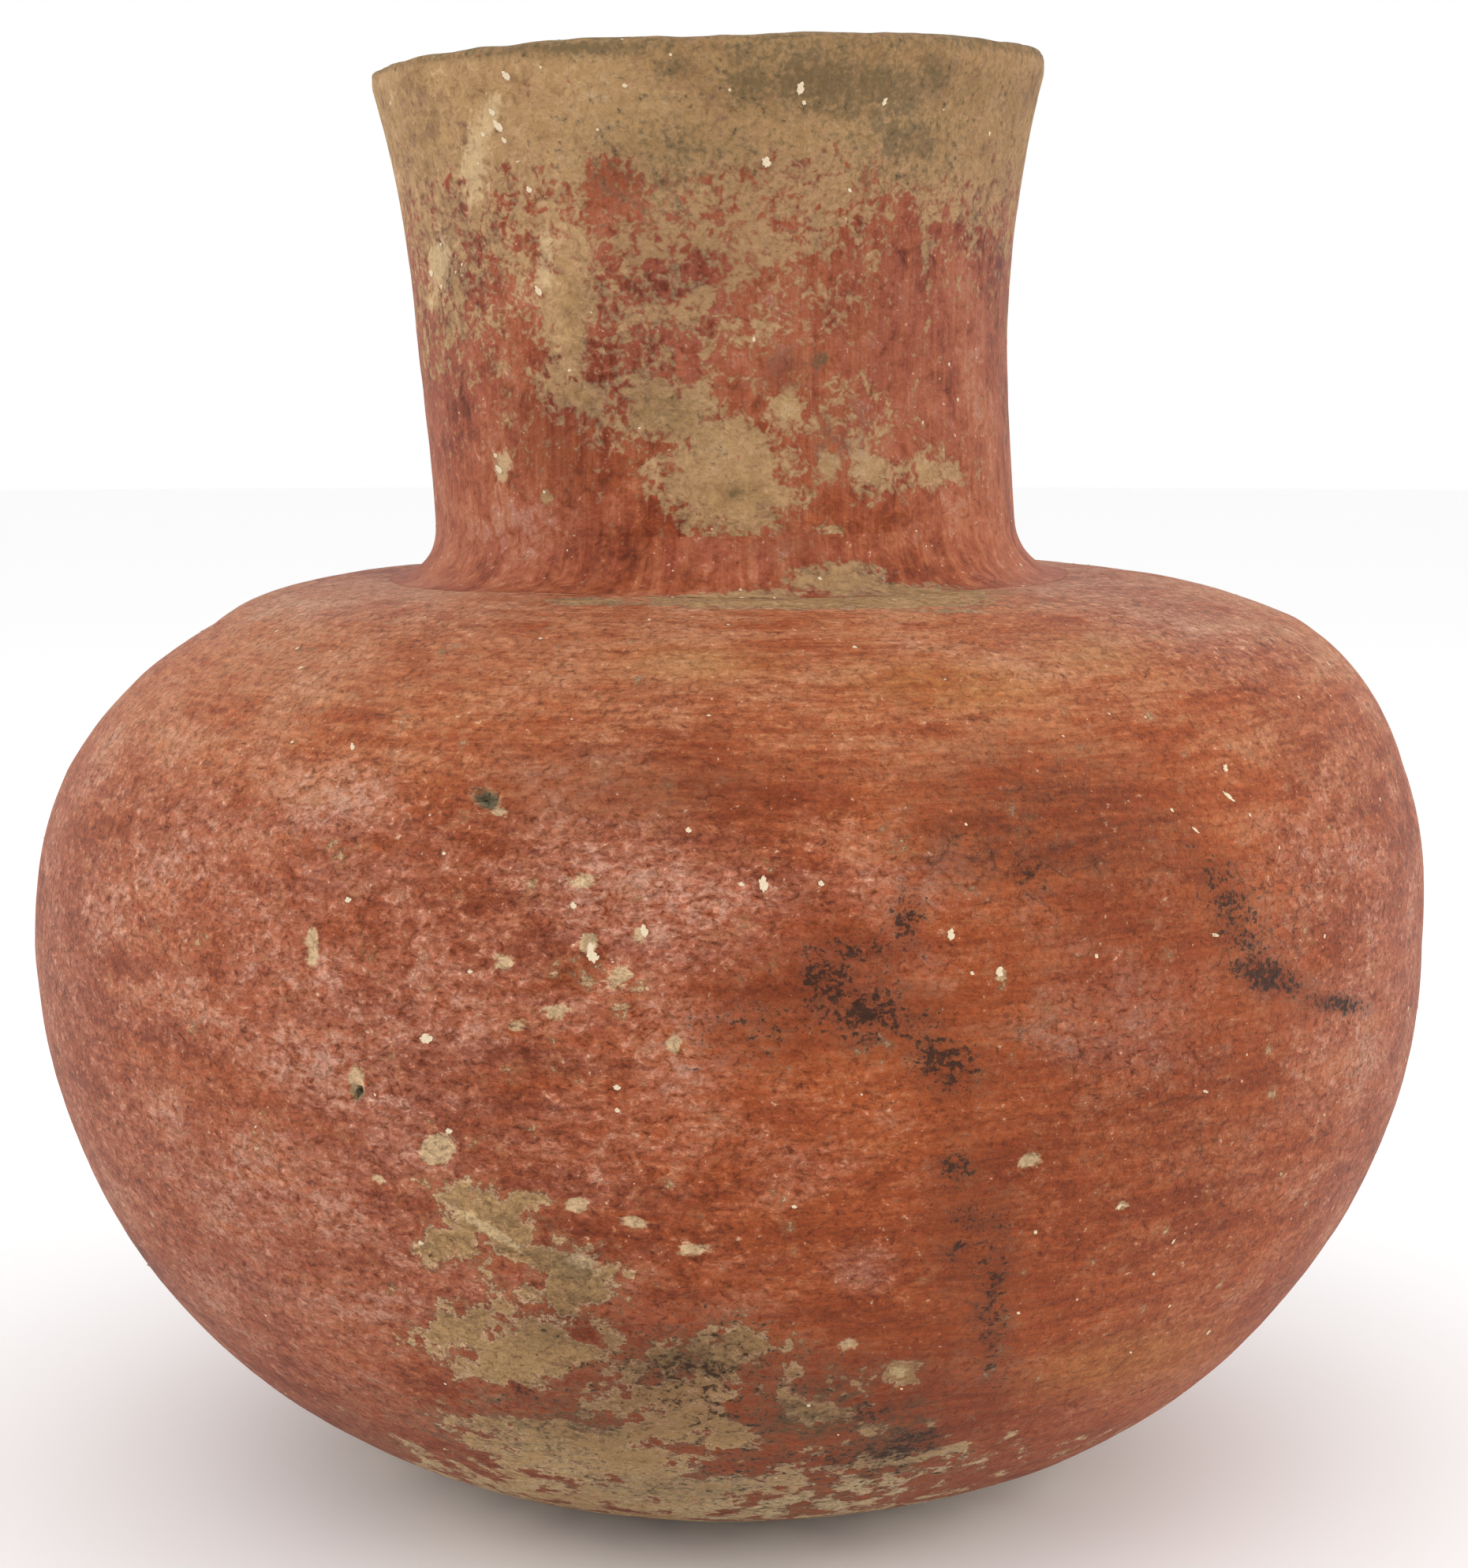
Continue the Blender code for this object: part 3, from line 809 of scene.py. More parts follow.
def worn_through(clay, slip, edge_colour, wear_scale, wear_edge):
    """The slip worn and chipped to the clay, with painted shade low on the slip and a painted shadow along
    each island's edge: its colour, how bare it is and how chipped.
    """
    weather, crumbs, flakes, graininess = clay.weather, clay.crumbs, clay.flakes, clay.graininess
    worn = clay.start.noise(clay.place, wear_scale, round(1 + 6 * graininess), 0.68, 0.8 * (1 - graininess))
    dots = clay.start.noise(clay.place, WORN_DOTS, 1.0, 0.6, 0.7) * (1 - graininess)
    depth = clay.attribute("bare") + worn * (0.45 + 0.5 * graininess) + crumbs * 0.2 * graininess + dots * 0.9
    bare = depth.smooth(-wear_edge, wear_edge)
    slip = (depth.smooth(-0.6, 0.0) * (0.5 + crumbs * 0.4)).most(0.0).blend(slip, edge_colour)
    # Painted shade: the slip is darkened towards the bottom of the jar
    slip = clay.z.smooth(*DOWN_BODY).blend(slip, PAINTED_LOW_SHADE, "MULTIPLY")
    buff = bare_clay(clay, slip, depth, wear_edge)
    # Painted shadow: a dark line on the slip along the edge of each island of bare clay
    painted_edge_shadow = depth.smooth(-3 * wear_edge, -wear_edge) * (0.36 * graininess + flakes * 0.3 - 0.16)
    slip = painted_edge_shadow.most(0.0).blend(slip, DARK_SPECK_AND_SHADOW)
    ochre = clay.attribute("ochre").smooth(-0.5, 0.8) * (0.55 + crumbs * 0.3 + weather * 0.3)
    slip = ochre.most(0.0).blend(slip, OCHRE)
    thin = (clay.high * (0.18 + weather * 0.16 + clay.broad * 0.16) * (0.2 + 0.8 * graininess)).most(0.0)
    colour = (thin + bare * (0.94 - thin)).blend(slip, buff)
    # Scorched brown, and painted shade on the neck's middle and right
    scorch = clay.attribute("scorch").smooth(-0.3, 1.0) * (0.4 + weather * 0.4 + crumbs * 0.6 + flakes * 0.3)
    colour = scorch.most(0.0).blend(colour, SCORCHED_AND_SHADED)
    chip = (clay.attribute("chip") + crumbs * 0.35 + weather * 0.15).smooth(-0.1, 0.3)
    colour = (chip * 0.85).blend(colour, (clay.grain * 0.25 + 0.6).blend(buff, CHIP_BUFF))
    return colour, bare, chip


def soiled(clay, colour):
    """Grime, pits, sooty stains and cracks over slip and clay alike, with painted shade in the pits, and
    painted light on the flakes and painted shade between them.
    """
    weather, crumbs, grit, flakes = clay.weather, clay.crumbs, clay.grit, clay.flakes
    grime = (clay.attribute("grime") + weather * 0.4 + crumbs * 0.45 + grit * 0.5).smooth(-0.2, 1.0) * 0.8
    colour = grime.blend(colour, GREY_GRIME)
    black_specks = (grit + crumbs * 0.5).smooth(0.65, 1.0) * grime * 0.6
    colour = black_specks.blend(colour, BLACK_SOOT_AND_SHADE)
    pit = clay.attribute("pit") + crumbs * 0.12 + grit * 0.1
    colour = (pit.smooth(-0.5, -0.2) * 0.3).blend(colour, PIT_LIP)
    colour = pit.smooth(-0.1, 0.15).blend(colour, PIT_GREY)
    haze = clay.attribute("soot").smooth(-0.5, 0.9) * (0.35 + crumbs * 0.5 + flakes * 0.4)
    colour = haze.most(0.0).blend(colour, SCORCHED_AND_SHADED)
    # Black soot, and painted shade inside the pits
    soot = clay.attribute("soot") * 0.8 + weather * 0.2 + crumbs * 0.4 + flakes * 0.3 + grit * 0.6 - 0.25
    colour = (soot.smooth(0.05, 0.55) * 0.86).blend(colour, BLACK_SOOT_AND_SHADE)
    bent = clay.start.vector(clay.x + crumbs * 0.0006, clay.y, clay.z + weather * 0.001)
    inputs = {"Vector": bent, "Scale": CRACK_CELLS}
    cracks = clay.start.node("ShaderNodeTexVoronoi", {"feature": "DISTANCE_TO_EDGE"}, inputs)
    cracked = (clay.attribute("crazing") * 0.6 + weather * 0.7).smooth(0.0, 0.5)
    cracks = (CRACK_WIDTH - cracks).smooth(0.0, CRACK_WIDTH) * cracked * 0.5
    colour = cracks.blend(colour, BLACK_SOOT_AND_SHADE)
    # Painted light and shade: the colour is lightened on the flakes and grit and darkened in the gaps between
    # them, as their relief would be lit
    shaded_gaps = (flakes * 0.9 + grit * 0.3 - weather * 0.3).smooth(-0.1, -0.9) * clay.graininess
    painted_relief_shading = 1.0 + flakes * (0.34 - clay.calm * 0.14) + grit * 0.1 * clay.graininess - shaded_gaps * 0.12
    return clay.start.node("ShaderNodeVectorMath", {"operation": "SCALE"}, {0: colour, "Scale": painted_relief_shading})


def slipped_clay(
    name,
    tone,
    lift,
    painted_foot_light,
    veil_and_sheen_colour,
    edge_colour,
    broad_strokes,
    fine_strokes,
    drawn_out,
    graininess,
    mottling,
    wear_scale,
    wear_edge,
):
    """Red slip over buff clay, rubbed on in strokes and worn through in islands.

    tone lightens the slip all over and lift from the shoulder up. The foot's lift is painted light on the
    foot of the neck, in the shade of its corner with the shoulder. Each pair of strokes is how often they
    repeat round the jar and up it.
    """
    material = bpy.data.materials.new(name)
    material.use_nodes = True
    tree = material.node_tree
    shader = tree.nodes["Principled BSDF"]
    clay = ClayPatterns(tree, broad_strokes, fine_strokes, drawn_out, graininess)
    slip, veil_and_sheen = slip_coat(clay, tone, lift, painted_foot_light, mottling, veil_and_sheen_colour)
    colour, bare, chip = worn_through(clay, slip, edge_colour, wear_scale, wear_edge)
    colour = soiled(clay, colour)
    inner = clay.toned(clay.weather * 0.4 + clay.cloud * 0.3 + clay.fine * 0.2 + 0.5, INNER_TONES)
    colour = clay.inside.blend(colour, inner)
    tree.links.new(colour.socket, shader.inputs["Base Color"])
    rough = 0.5 + bare * 0.25 + veil_and_sheen * 0.2 + clay.inside * 0.2
    tree.links.new(rough.socket, shader.inputs["Roughness"])
    relief = clay.broad * 0.1 + clay.stroke * 0.12 + clay.crumbs * 0.2
    relief = relief + clay.flakes * 0.3 + clay.weather * 0.2
    relief = relief - (bare * 0.2 + chip * 0.3) * graininess
    inputs = {"Strength": 1.0, "Distance": RELIEF_DEPTH, "Height": relief}
    bump = clay.start.node("ShaderNodeBump", None, inputs)
    tree.links.new(bump.socket, shader.inputs["Normal"])
    shader.inputs["Sheen Weight"].default_value = 0.03
    shader.inputs["Sheen Roughness"].default_value = 0.6
    shader.inputs["Specular IOR Level"].default_value = 0.1
    return material


body_slip = slipped_clay(
    "body_slip",
    tone=0.5,
    lift=0.26,
    painted_foot_light=0.0,
    veil_and_sheen_colour=CHALK_AND_SHEEN,
    edge_colour=THIN_SLIP,
    broad_strokes=(4.0, 320.0),
    fine_strokes=(16.0, 1500.0),
    drawn_out=1.6,
    graininess=1.0,
    mottling=1.0,
    wear_scale=230.0,
    wear_edge=0.09,
)
FOOT_WEAR = [(0.0, 0.5), (0.003, 0.15), (0.012, -0.4), (0.025, -0.9)]


def body_wear(points):
    """The slip is sound on the body, and thins out towards the foot."""
    return np.interp(points[:, 2], *zip(*FOOT_WEAR))


def on_jar(ring, replaced):
    """The piece stands for one CAD node and stays with the jar."""
    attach(ring, "root")
    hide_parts(replaced)


high_outer, high_inner = body_seams[0]
bowl_section = joined(
    Section(np.array([[0.0, 0.0]]), np.array([[0.0, -1.0]]), np.zeros(1), np.zeros(1)),
    outer_face(body_wall, FOOT_RADIUS / 8, high_outer, BOWL_STEP),
    inner_face(body_wall, high_inner, FOOT_RADIUS, INNER_STEP),
    Section(np.array([[0.0, FLOOR_WALL]]), np.array([[0.0, -1.0]]), np.zeros(1), np.ones(1)),
)
base_bowl = clay_ring("base_bowl_clay", bowl_section, body_slip, BODY_AROUND, BODY_STRIPS)
weathered(base_bowl, body_wear, BARE_LOW, RUBBED_BODY, (), LOW_GRIME, CRAZING, PITS)
on_jar(base_bowl, "base_bowl")


# Body coils
# Rolls of clay as thick as a finger, laid in rings, flattened and lapped inside the one below. Each seam is
# smeared over and scraped smooth outside, then slipped and rubbed with a pebble, round and round.
CHIPS = [
    Mark(555, 1457, 24, 21, -30, 1.6),
    Mark(730, 1528, 16, 11, 0, 1.4),
    Mark(803, 1550, 24, 8, 12, 1.0),
    Mark(632, 1027, 15, 7, 28, 1.2),
    Mark(747, 1197, 13, 19, 0, 1.4),
    Mark(785, 1240, 18, 14, -20, 0.7),
    Mark(705, 1282, 16, 12, 0, 0.7),
    Mark(656, 1300, 13, 10, 0, 0.8),
    Mark(855, 1325, 12, 11, 0, 1.0),
    Mark(638, 1220, 12, 10, 0, 0.6),
    Mark(740, 1115, 18, 10, 0, 0.6),
    Mark(395, 1200, 9, 28, 4, 0.9),
    Mark(452, 1372, 10, 23, 4, 1.0),
    Mark(480, 1497, 12, 6, 40, 0.9),
    Mark(1305, 1472, 19, 10, -15, 1.2),
    Mark(1423, 1530, 10, 8, 0, 1.0),
    Mark(1270, 1237, 10, 9, 0, 1.0),
    Mark(810, 1185, 8, 13, 10, 1.0),
    Mark(880, 1585, 26, 9, 0, 0.7),
    Mark(1075, 1705, 14, 8, 0, 0.7),
    Mark(1140, 1742, 14, 10, 0, 0.7),
    Mark(618, 1560, 70, 7, 30, 1.2),
    Mark(740, 1600, 26, 12, 10, 0.8),
]
coils = []
for i in range(BODY_COILS):
    name = f"body_coil_{i + 1}"
    section = coil_section(body_wall, body_seams[i], body_seams[i + 1])
    coil = clay_ring(f"{name}_clay", section, body_slip, BODY_AROUND, BODY_STRIPS)
    weathered(coil, body_wear, BARE_LOW, RUBBED_BODY, CHIPS, LOW_GRIME, CRAZING, PITS)
    on_jar(coil, name)
    coils.append(coil)


# Shoulder coils
# Two more coils drawn in over the hollow body, up to the opening that the neck stands in. A tool ran round
# the neck's foot, and the slip has flaked in the groove that it left.
FLAKED_GROOVE = [
    Mark(1050, 765, 230, 7, 0, 2.0),
    Mark(960, 752, 60, 4, 0, 1.2),
    Mark(1060, 735, 64, 22, 0, 1.4),
    Mark(1150, 751, 110, 12, 4, 1.2),
    Mark(930, 757, 100, 8, -3, 1.2),
    Mark(1200, 775, 60, 3, 0, 1.2),
    Mark(740, 762, 40, 4, 0, 1.0),
]
for i in range(SHOULDER_COILS):
    name = f"shoulder_coil_{i + 1}"
    section = coil_section(body_wall, body_seams[BODY_COILS + i], body_seams[BODY_COILS + i + 1])
    coil = clay_ring(f"{name}_clay", section, body_slip, BODY_AROUND, BODY_STRIPS)
    weathered(coil, body_wear, FLAKED_GROOVE, RUBBED_BODY, CHIPS, (), CRAZING, PITS)
    on_jar(coil, name)
    coils.append(coil)


# Neck coils
# Three upright coils. The first has a mitred foot that stands in the shoulder's opening. The slip here was
# wiped on upright, and handling has worn it to buff clay in streaks and islands.
NECK_LENGTH = 0.0685
RIM_FLARE = 0.0061
FLARE_POWER = 3.6
LIP_WALL = 0.0045
LIP_EDGE = 0.0015
NECK_COILS = 3
RIM_COIL_HEIGHT = 0.012
NECK_AROUND, NECK_STRIPS = 480, 3
RIM_HEIGHT = SHOULDER_HEIGHT + NECK_LENGTH

neck_heights = np.linspace(SHOULDER_HEIGHT, RIM_HEIGHT + LIP_EDGE, CURVE_SAMPLES)
neck_rise = np.minimum((neck_heights - SHOULDER_HEIGHT) / NECK_LENGTH, 1.0)
neck_radii = NECK_RADIUS + RIM_FLARE * neck_rise**FLARE_POWER
neck_wall = Wall(
    [(NECK_RADIUS, SHOULDER_HEIGHT - BODY_WALL)] + list(zip(neck_radii, neck_heights)),
    [(SHOULDER_HEIGHT, NECK_WALL), (RIM_HEIGHT, LIP_WALL)],
)
rim_edge = neck_wall.distance_at_height(RIM_HEIGHT - RIM_COIL_HEIGHT)
neck_edges = np.linspace(BODY_WALL, rim_edge, NECK_COILS + 1)
neck_seams = [(edge, edge - SEAM_LAP) for edge in neck_edges]
neck_seams[0] = (BODY_WALL, 0.0)

BARE_NECK = [
    Mark(900, 70, 560, 62, 0, 1.8),
    Mark(545, 170, 80, 60, 15, 1.0),
    Mark(610, 215, 24, 60, 0, 0.9),
    Mark(918, 235, 26, 50, 0, 0.7),
    Mark(1245, 200, 34, 60, 0, 1.0),
    Mark(722, 385, 34, 130, 0, 1.2),
    Mark(735, 505, 56, 30, 5, 0.9),
    Mark(845, 525, 80, 46, 22, 0.9),
    Mark(920, 610, 88, 72, 10, 1.4),
    Mark(1000, 515, 24, 38, 0, 1.1),
    Mark(1173, 330, 9, 120, 0, 0.7),
    Mark(1050, 590, 16, 16, 0, 1.2),
    Mark(1100, 600, 24, 20, 0, 0.9),
    Mark(1180, 598, 42, 20, 0, 0.8),
    Mark(1060, 712, 46, 36, 0, 1.3),
    Mark(1130, 730, 80, 24, 6, 1.1),
    Mark(1000, 695, 34, 12, 10, 0.9),
    Mark(692, 632, 10, 10, 0, 1.6),
    Mark(1050, 762, 230, 8, 0, 1.2),
]
RUBBED_NECK = [
    Mark(620, 560, 110, 150, 0, -0.2),
    Mark(1190, 450, 120, 220, 0, -0.5),
    Mark(1000, 470, 70, 60, 0, -0.35),
    Mark(768, 235, 56, 66, 0, -0.7),
    Mark(860, 235, 30, 50, 0, -0.3),
    Mark(600, 340, 70, 70, 0, 0.1),
    Mark(1120, 300, 80, 80, 0, -0.2),
    Mark(870, 370, 150, 150, 0, 0.1),
    Mark(1130, 560, 130, 110, 0, 0.3),
    Mark(650, 560, 70, 90, 0, 0.1),
    Mark(1060, 450, 50, 40, 0, -0.3),
    Mark(560, 380, 40, 140, 0, 0.25),
    Mark(900, 560, 200, 120, 0, 0.1),
]
PALE_SMEARS = [
    Mark(622, 145, 14, 30, 10, 0.7),
    Mark(600, 205, 18, 50, 0, 0.6),
    Mark(560, 330, 18, 50, 0, 0.6),
    Mark(636, 592, 12, 22, 0, 0.6),
    Mark(690, 330, 12, 40, 0, 0.5),
]
RIM_GRIME = [
    Mark(980, 60, 330, 14, 0, 0.7),
    Mark(1060, 105, 240, 64, 4, 0.9),
    Mark(860, 84, 40, 28, 0, 1.0),
    Mark(950, 108, 56, 46, 0, 1.0),
    Mark(1185, 95, 44, 56, 0, 1.0),
    Mark(1080, 90, 50, 26, 0, 0.8),
    Mark(720, 60, 230, 16, 0, 0.9),
    Mark(1160, 180, 110, 60, 0, 0.5),
    Mark(870, 190, 120, 50, 0, 0.4),
    Mark(930, 625, 16, 12, 0, 1.0),
    Mark(1040, 455, 14, 14, 0, 1.2),
    Mark(850, 520, 80, 40, 20, 0.4),
]
neck_slip = slipped_clay(
    "neck_slip",
    tone=0.37,
    lift=0.02,
    painted_foot_light=0.16,
    veil_and_sheen_colour=MAUVE,
    edge_colour=DEEP_RED,
    broad_strokes=(26.0, 70.0),
    fine_strokes=(90.0, 110.0),
    drawn_out=1.0,
    graininess=0.35,
    mottling=1.7,
    wear_scale=300.0,
    wear_edge=0.3,
)
NECK_WEAR = [
    (0.130, -0.9),
    (0.138, -0.75),
    (0.146, -0.5),
    (0.155, -0.25),
    (0.172, -0.05),
    (0.183, 0.3),
    (0.190, 0.9),
]


def neck_wear(points):
    """The slip is half worn all over the neck, and gone from the rim."""
    return np.interp(points[:, 2], *zip(*NECK_WEAR))


for i in range(NECK_COILS):
    name = f"neck_coil_{i + 1}"
    section = coil_section(neck_wall, neck_seams[i], neck_seams[i + 1])
    coil = clay_ring(f"{name}_clay", section, neck_slip, NECK_AROUND, NECK_STRIPS)
    weathered(coil, neck_wear, BARE_NECK, RUBBED_NECK, PALE_SMEARS, RIM_GRIME)
    on_jar(coil, name)
    coils.append(coil)


# Neck root roll
# A thin roll of clay pressed into the corner between the neck and the shoulder and smeared into a hollow.
# The tool that smeared it left a groove at its lower edge, where the slip has flaked.
ROLL_HEIGHT = 0.0075
ROLL_TOP_EDGE, ROLL_LOW_EDGE = 0.00004, 0.00006
ROLL_STEPS = 18

corner = np.array([NECK_RADIUS, SHOULDER_HEIGHT])
roll_reach = np.array([LEDGE_WIDTH, ROLL_HEIGHT])
sweep = np.radians(np.linspace(270, 180, ROLL_STEPS))
hollow = np.stack([np.cos(sweep), np.sin(sweep)], axis=1)
face = corner + roll_reach + (roll_reach - [ROLL_TOP_EDGE, ROLL_LOW_EDGE]) * hollow
legs = np.array([[NECK_RADIUS, SHOULDER_HEIGHT + ROLL_HEIGHT], corner, [shoulder_radius, SHOULDER_HEIGHT]])
roll_points = np.concatenate([face, legs, face[:1]])
roll_outward = np.concatenate([-hollow, [[1, 0], [0.7, 0.7], [0, 1]], -hollow[:1]])
roll_along = opening_edge + np.linspace(0, ROLL_HEIGHT, len(roll_points))
roll_section = Section(roll_points, roll_outward, roll_along, np.zeros(len(roll_points)))
root_roll = clay_ring("neck_root_roll_clay", roll_section, neck_slip, BODY_AROUND, BODY_STRIPS)
weathered(root_roll, neck_wear, FLAKED_GROOVE, RUBBED_NECK)
on_jar(root_roll, "neck_root_roll")


# Rim
# The last coil, lapped inside the neck, turned out by wet fingers and rounded over. Its slip is gone, and
# it is grey with handling.
LIP_STEPS = 20
LIP_RISE = 0.0011
LIP_FULLNESS = 2.6
HANDLED_LIP = 0.0012
INNER_LIP_TURN = 0.65 * math.pi

lip_outer, lip_inner = neck_wall.outer(neck_wall.length), neck_wall.inner(neck_wall.length)
lip_middle = (lip_outer + lip_inner) / 2
lip_out = (lip_outer - lip_inner) / 2
lip_up = np.array([-lip_out[1], lip_out[0]]) / np.linalg.norm(lip_out) * LIP_RISE
lip_turn = np.linspace(0, math.pi, LIP_STEPS)[1:-1, None]
lip_across = np.sign(np.cos(lip_turn)) * np.abs(np.cos(lip_turn)) ** (2 / LIP_FULLNESS)
lip_points = lip_middle + lip_out * lip_across + lip_up * np.sin(lip_turn) ** (2 / LIP_FULLNESS)
lip_count = len(lip_points)
lip_outward = lip_out / np.linalg.norm(lip_out) * np.cos(lip_turn) + lip_up / LIP_RISE * np.sin(lip_turn)
lip_inside = (lip_turn[:, 0] > INNER_LIP_TURN).astype(float)
lip = Section(lip_points, lip_outward, np.full(lip_count, neck_wall.length), lip_inside)
rim_outer = outer_face(neck_wall, neck_seams[-1][0], neck_wall.length, OUTER_STEP)
rim_inner = inner_face(neck_wall, neck_wall.length, neck_seams[-1][1], INNER_STEP)
rim_section = joined(rim_outer, lip, rim_inner, Section(*[values[:1] for values in rim_outer]))
rim = clay_ring("rim_coil_clay", rim_section, neck_slip, NECK_AROUND, NECK_STRIPS)
handled_from = neck_wall.length - HANDLED_LIP
weathered(rim, neck_wear, BARE_NECK, RUBBED_NECK, PALE_SMEARS, RIM_GRIME, grimy_from=handled_from)
on_jar(rim, "rim_coil")


# Grains
# Bits of lime and white grit from the clay and the soil, set in the slip and standing a little out of it.
# The larger ones are where the photograph shows them, and finer ones lie all round the jar.
LIME_GRAINS = [
    Mark(968, 1122, 6, 11, -20),
    Mark(940, 1125, 4, 3),
    Mark(1045, 1125, 4, 4),
    Mark(868, 1055, 4, 4),
    Mark(750, 1205, 9, 14),
    Mark(812, 1183, 5, 9, 10),
    Mark(729, 1146, 4, 5),
    Mark(540, 1319, 9, 7, 20),
    Mark(780, 1380, 5, 4, 30),
    Mark(573, 1434, 5, 4),
    Mark(1205, 1187, 5, 8),
    Mark(1268, 1236, 7, 7),
    Mark(1557, 1009, 11, 3),
    Mark(1515, 1050, 7, 2),
    Mark(1552, 973, 4, 6, -30),
    Mark(1538, 1187, 5, 7, 20),
    Mark(1388, 1213, 3, 3),
    Mark(1043, 1124, 4, 3),
    Mark(1524, 1382, 4, 4),
    Mark(1418, 1530, 5, 5),
    Mark(1313, 1558, 3, 3),
    Mark(1530, 1688, 4, 4),
    Mark(1016, 116, 5, 9),
    Mark(1020, 132, 3, 3),
    Mark(969, 207, 6, 7),
    Mark(1122, 125, 3, 6),
    Mark(640, 100, 5, 8),
    Mark(622, 140, 4, 6, 10),
    Mark(630, 158, 5, 10, 10),
    Mark(637, 180, 3, 5, 10),
    Mark(612, 170, 3, 4),
    Mark(655, 205, 3, 4),
    Mark(672, 240, 4, 5),
    Mark(548, 346, 5, 6),
    Mark(560, 362, 4, 3),
    Mark(634, 596, 4, 8, 15),
    Mark(628, 580, 3, 4),
    Mark(684, 370, 4, 8),
    Mark(446, 951, 3, 7, 20),
    Mark(438, 1140, 5, 4),
]
FINE_GRAINS = 380
FINE_GRAIN_SIZES = (0.00009, 0.00024)
FINE_GRAIN_SHAPES = (0.7, 1.4)
GRAIN_SEED = 7
LUMPINESS = 0.7
GRAIN_THICKNESS = 0.4
GRAIN_SHRINK = 0.8
LIME = hue(214, 196, 166)

skin_points, skin_normals = [], []
for piece in [base_bowl, *coils, root_roll, rim]:
    outside = vertex_values(piece.data, "inside") < 0.5
    skin_points.append(vertex_values(piece.data, "position", 3)[outside])
    normals = np.empty(len(piece.data.vertices) * 3)
    piece.data.vertex_normals.foreach_get("vector", normals)
    skin_normals.append(normals.reshape(-1, 3)[outside])
skin_points, skin_normals = np.concatenate(skin_points), np.concatenate(skin_normals)
toward = np.array(camera.location) - skin_points
seen = np.flatnonzero((skin_normals * toward).sum(axis=1) > 0)
seen_places = photo_places(skin_points[seen])
random = np.random.default_rng(GRAIN_SEED)
spots, sizes = [], []
for mark in LIME_GRAINS:
    spot = seen[np.argmin(np.hypot(*(seen_places - [mark.x, mark.y]).T))]
    pixel = np.linalg.norm(toward[spot]) / (FOCAL_LENGTH_MM / SENSOR_MM * PHOTO_HEIGHT)
    spots.append(spot)
    sizes.append(np.array([mark.wide, mark.tall, min(mark.wide, mark.tall)]) * pixel * GRAIN_SHRINK)
for spot in random.choice(len(skin_points), FINE_GRAINS, replace=False):
    spots.append(spot)
    sizes.append(random.uniform(*FINE_GRAIN_SIZES) * random.uniform(*FINE_GRAIN_SHAPES, 3))


def grain_tree():
    """Nodes that set a lumpy grain on each point, flat against the clay."""
    tree = bpy.data.node_groups.new("Standing Grains", "GeometryNodeTree")
    tree.interface.new_socket("Points", in_out="INPUT", socket_type="NodeSocketGeometry")
    identifiers = {}
    for name, kind in (("Lumpiness", "Float"), ("Mineral", "Material")):
        socket = tree.interface.new_socket(name, in_out="INPUT", socket_type=f"NodeSocket{kind}")
        identifiers[name] = socket.identifier
    tree.interface.new_socket("Grains", in_out="OUTPUT", socket_type="NodeSocketGeometry")
    group = tree.nodes.new("NodeGroupInput")
    points, lumpiness, mineral = (Wire(tree, socket) for socket in group.outputs[:3])
    start = Wire(tree)
    ball = start.node("GeometryNodeMeshIcoSphere", None, {"Radius": 1.0, "Subdivisions": 3})
    place = start.node("GeometryNodeInputPosition")
    bulge_out = start.noise(place, 1.6, 2.0, 0.6) * lumpiness
    offset = start.node("ShaderNodeVectorMath", {"operation": "SCALE"}, {0: place, "Scale": bulge_out})
    grain = start.node("GeometryNodeSetPosition", None, {"Geometry": ball, "Offset": offset})
    size = start.node("GeometryNodeInputNamedAttribute", {"data_type": "FLOAT_VECTOR"}, {"Name": "size"})
    facing = start.node("GeometryNodeInputNamedAttribute", {"data_type": "FLOAT_VECTOR"}, {"Name": "facing"})
    turn = start.node("FunctionNodeAlignRotationToVector", {"axis": "Z"}, {"Vector": facing})
    inputs = {"Points": points, "Instance": grain, "Rotation": turn, "Scale": size}
    placed = start.node("GeometryNodeInstanceOnPoints", None, inputs)
    shape = start.node("GeometryNodeRealizeInstances", None, {"Geometry": placed})
    shape = start.node("GeometryNodeSetMaterial", None, {"Geometry": shape, "Material": mineral})
    output = tree.nodes.new("NodeGroupOutput")
    tree.links.new(shape.socket, output.inputs[0])
    return tree, identifiers


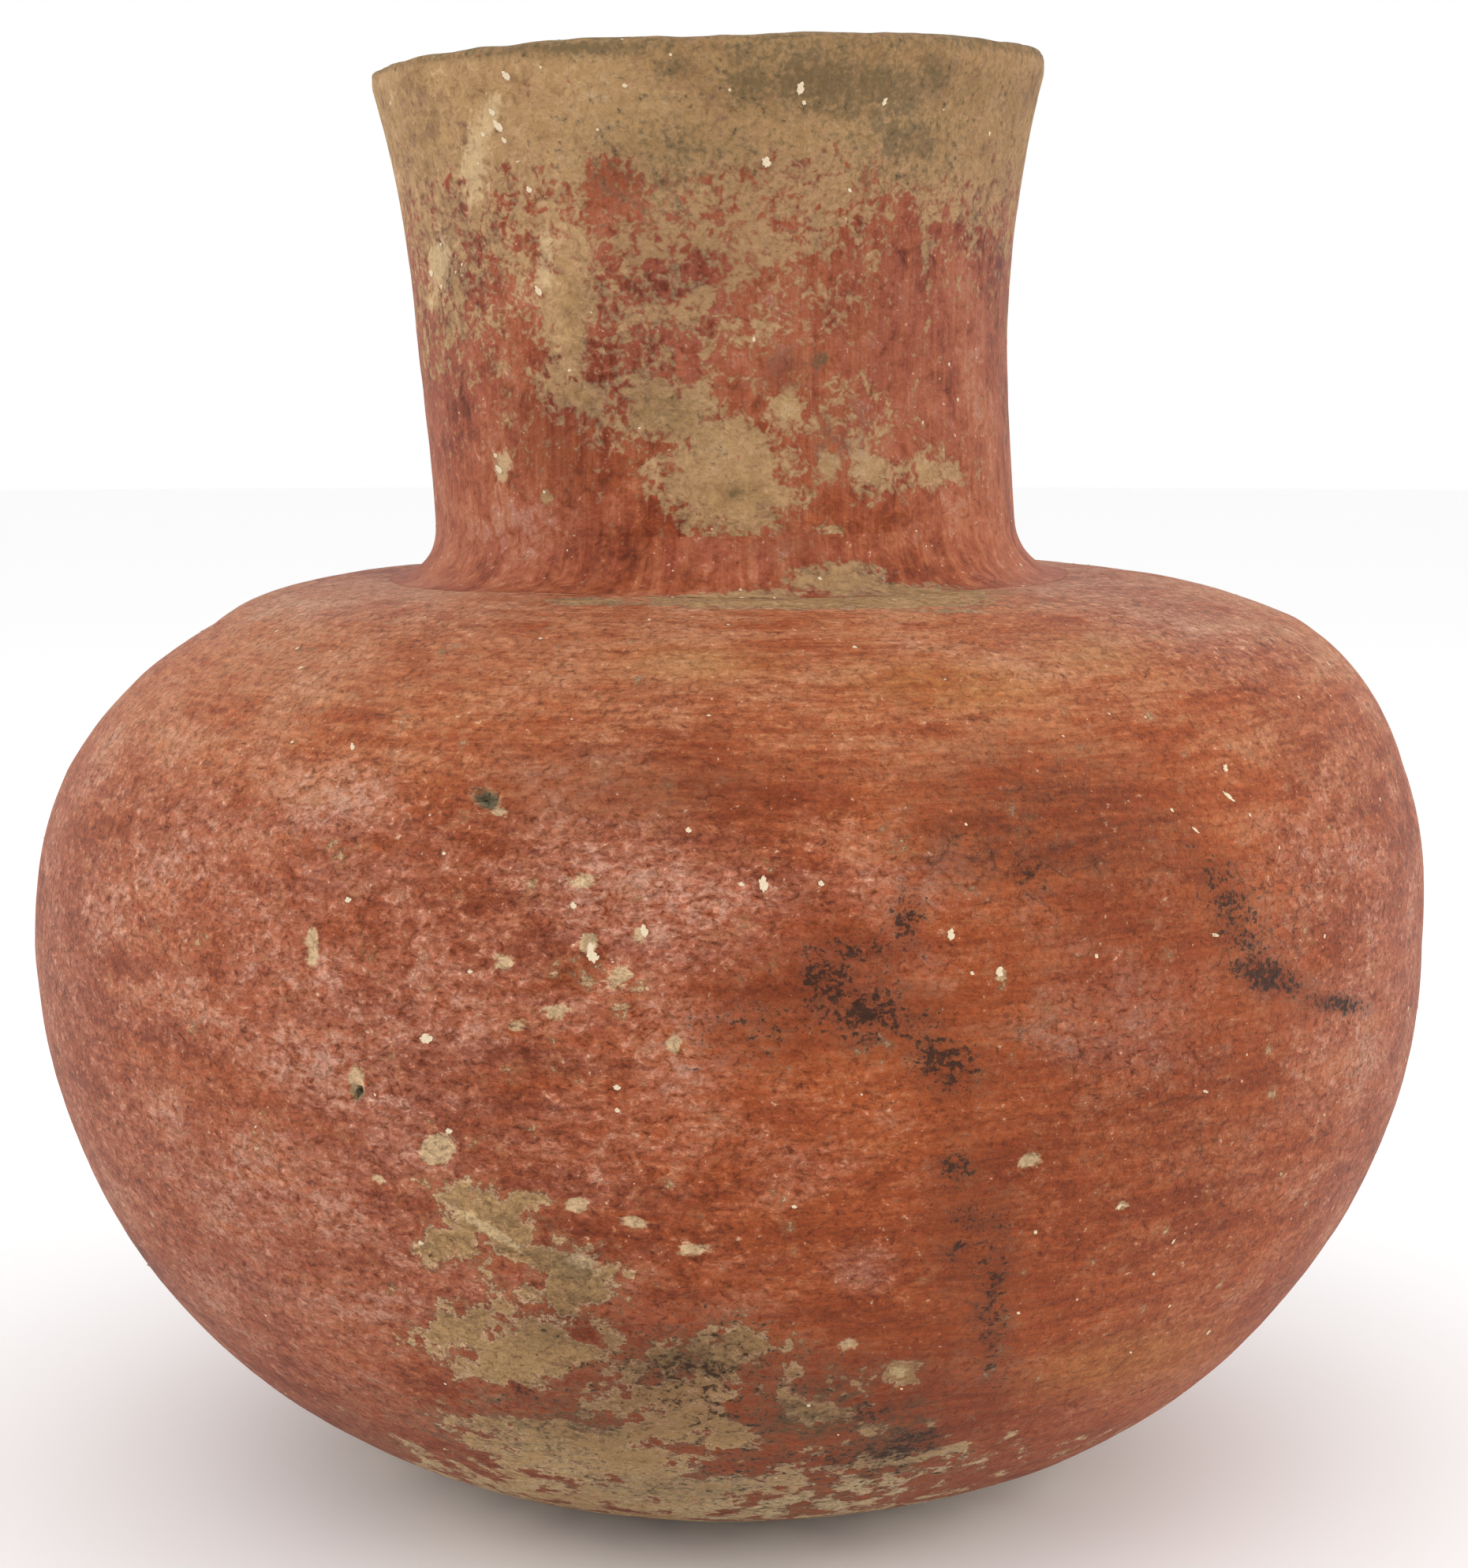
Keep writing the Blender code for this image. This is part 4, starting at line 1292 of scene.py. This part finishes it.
lime = bpy.data.materials.new("lime")
lime.use_nodes = True
lime.node_tree.nodes["Principled BSDF"].inputs["Base Color"].default_value = LIME
lime.node_tree.nodes["Principled BSDF"].inputs["Roughness"].default_value = 0.85
standing_grains, grain_inputs = grain_tree()
mesh = bpy.data.meshes.new("lime_grains")
mesh.from_pydata(skin_points[spots], [], [])
sizes = np.array(sizes) * [1, 1, GRAIN_THICKNESS]
mesh.attributes.new("size", "FLOAT_VECTOR", "POINT").data.foreach_set("vector", sizes.ravel())
mesh.attributes.new("facing", "FLOAT_VECTOR", "POINT").data.foreach_set("vector", skin_normals[spots].ravel())
grains = bpy.data.objects.new("lime_grains", mesh)
bpy.context.scene.collection.objects.link(grains)
setting = grains.modifiers.new("Standing Grains", "NODES")
setting.node_group = standing_grains
for key, value in (("Lumpiness", LUMPINESS), ("Mineral", lime)):
    setting[grain_inputs[key]] = value
settled(grains)
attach(grains, "root")


# Floor and light
# A pale floor under a white sky, with a broad soft lamp in front and above and one at each side, as in a
# plain studio.
FLOOR_RADIUS = 4.0
FLOOR_WHITE = (0.96, 0.96, 0.96, 1.0)
SKY_STRENGTH = 1.0
LAMPS = [
    ("key_lamp", (-0.35, -0.9, 0.9), 0.9, 2.4),
    ("right_lamp", (0.95, -0.25, 0.4), 0.7, 3.8),
    ("left_lamp", (-0.95, -0.15, 0.4), 0.7, 1.8),
]

bpy.ops.mesh.primitive_circle_add(vertices=96, radius=FLOOR_RADIUS, fill_type="NGON")
floor = bpy.context.object
floor.name = "studio_floor"
floor_paint = bpy.data.materials.new("studio_floor")
floor_paint.use_nodes = True
floor_paint.node_tree.nodes["Principled BSDF"].inputs["Base Color"].default_value = FLOOR_WHITE
floor_paint.node_tree.nodes["Principled BSDF"].inputs["Roughness"].default_value = 0.9
floor.data.materials.append(floor_paint)

sky = bpy.data.worlds.new("studio")
sky.use_nodes = True
sky.node_tree.nodes["Background"].inputs["Color"].default_value = (1, 1, 1, 1)
sky.node_tree.nodes["Background"].inputs["Strength"].default_value = SKY_STRENGTH
bpy.context.scene.world = sky
bpy.context.scene.view_settings.view_transform = "Standard"

for name, place, size, power in LAMPS:
    lamp_data = bpy.data.lights.new(name, "AREA")
    lamp_data.size = size
    lamp_data.energy = power
    lamp = bpy.data.objects.new(name, lamp_data)
    lamp.location = place
    reach = np.array(place) - AIM
    lean = math.atan2(np.hypot(reach[0], reach[1]), reach[2])
    lamp.rotation_euler = (lean, 0, math.atan2(reach[0], -reach[1]))
    bpy.context.scene.collection.objects.link(lamp)
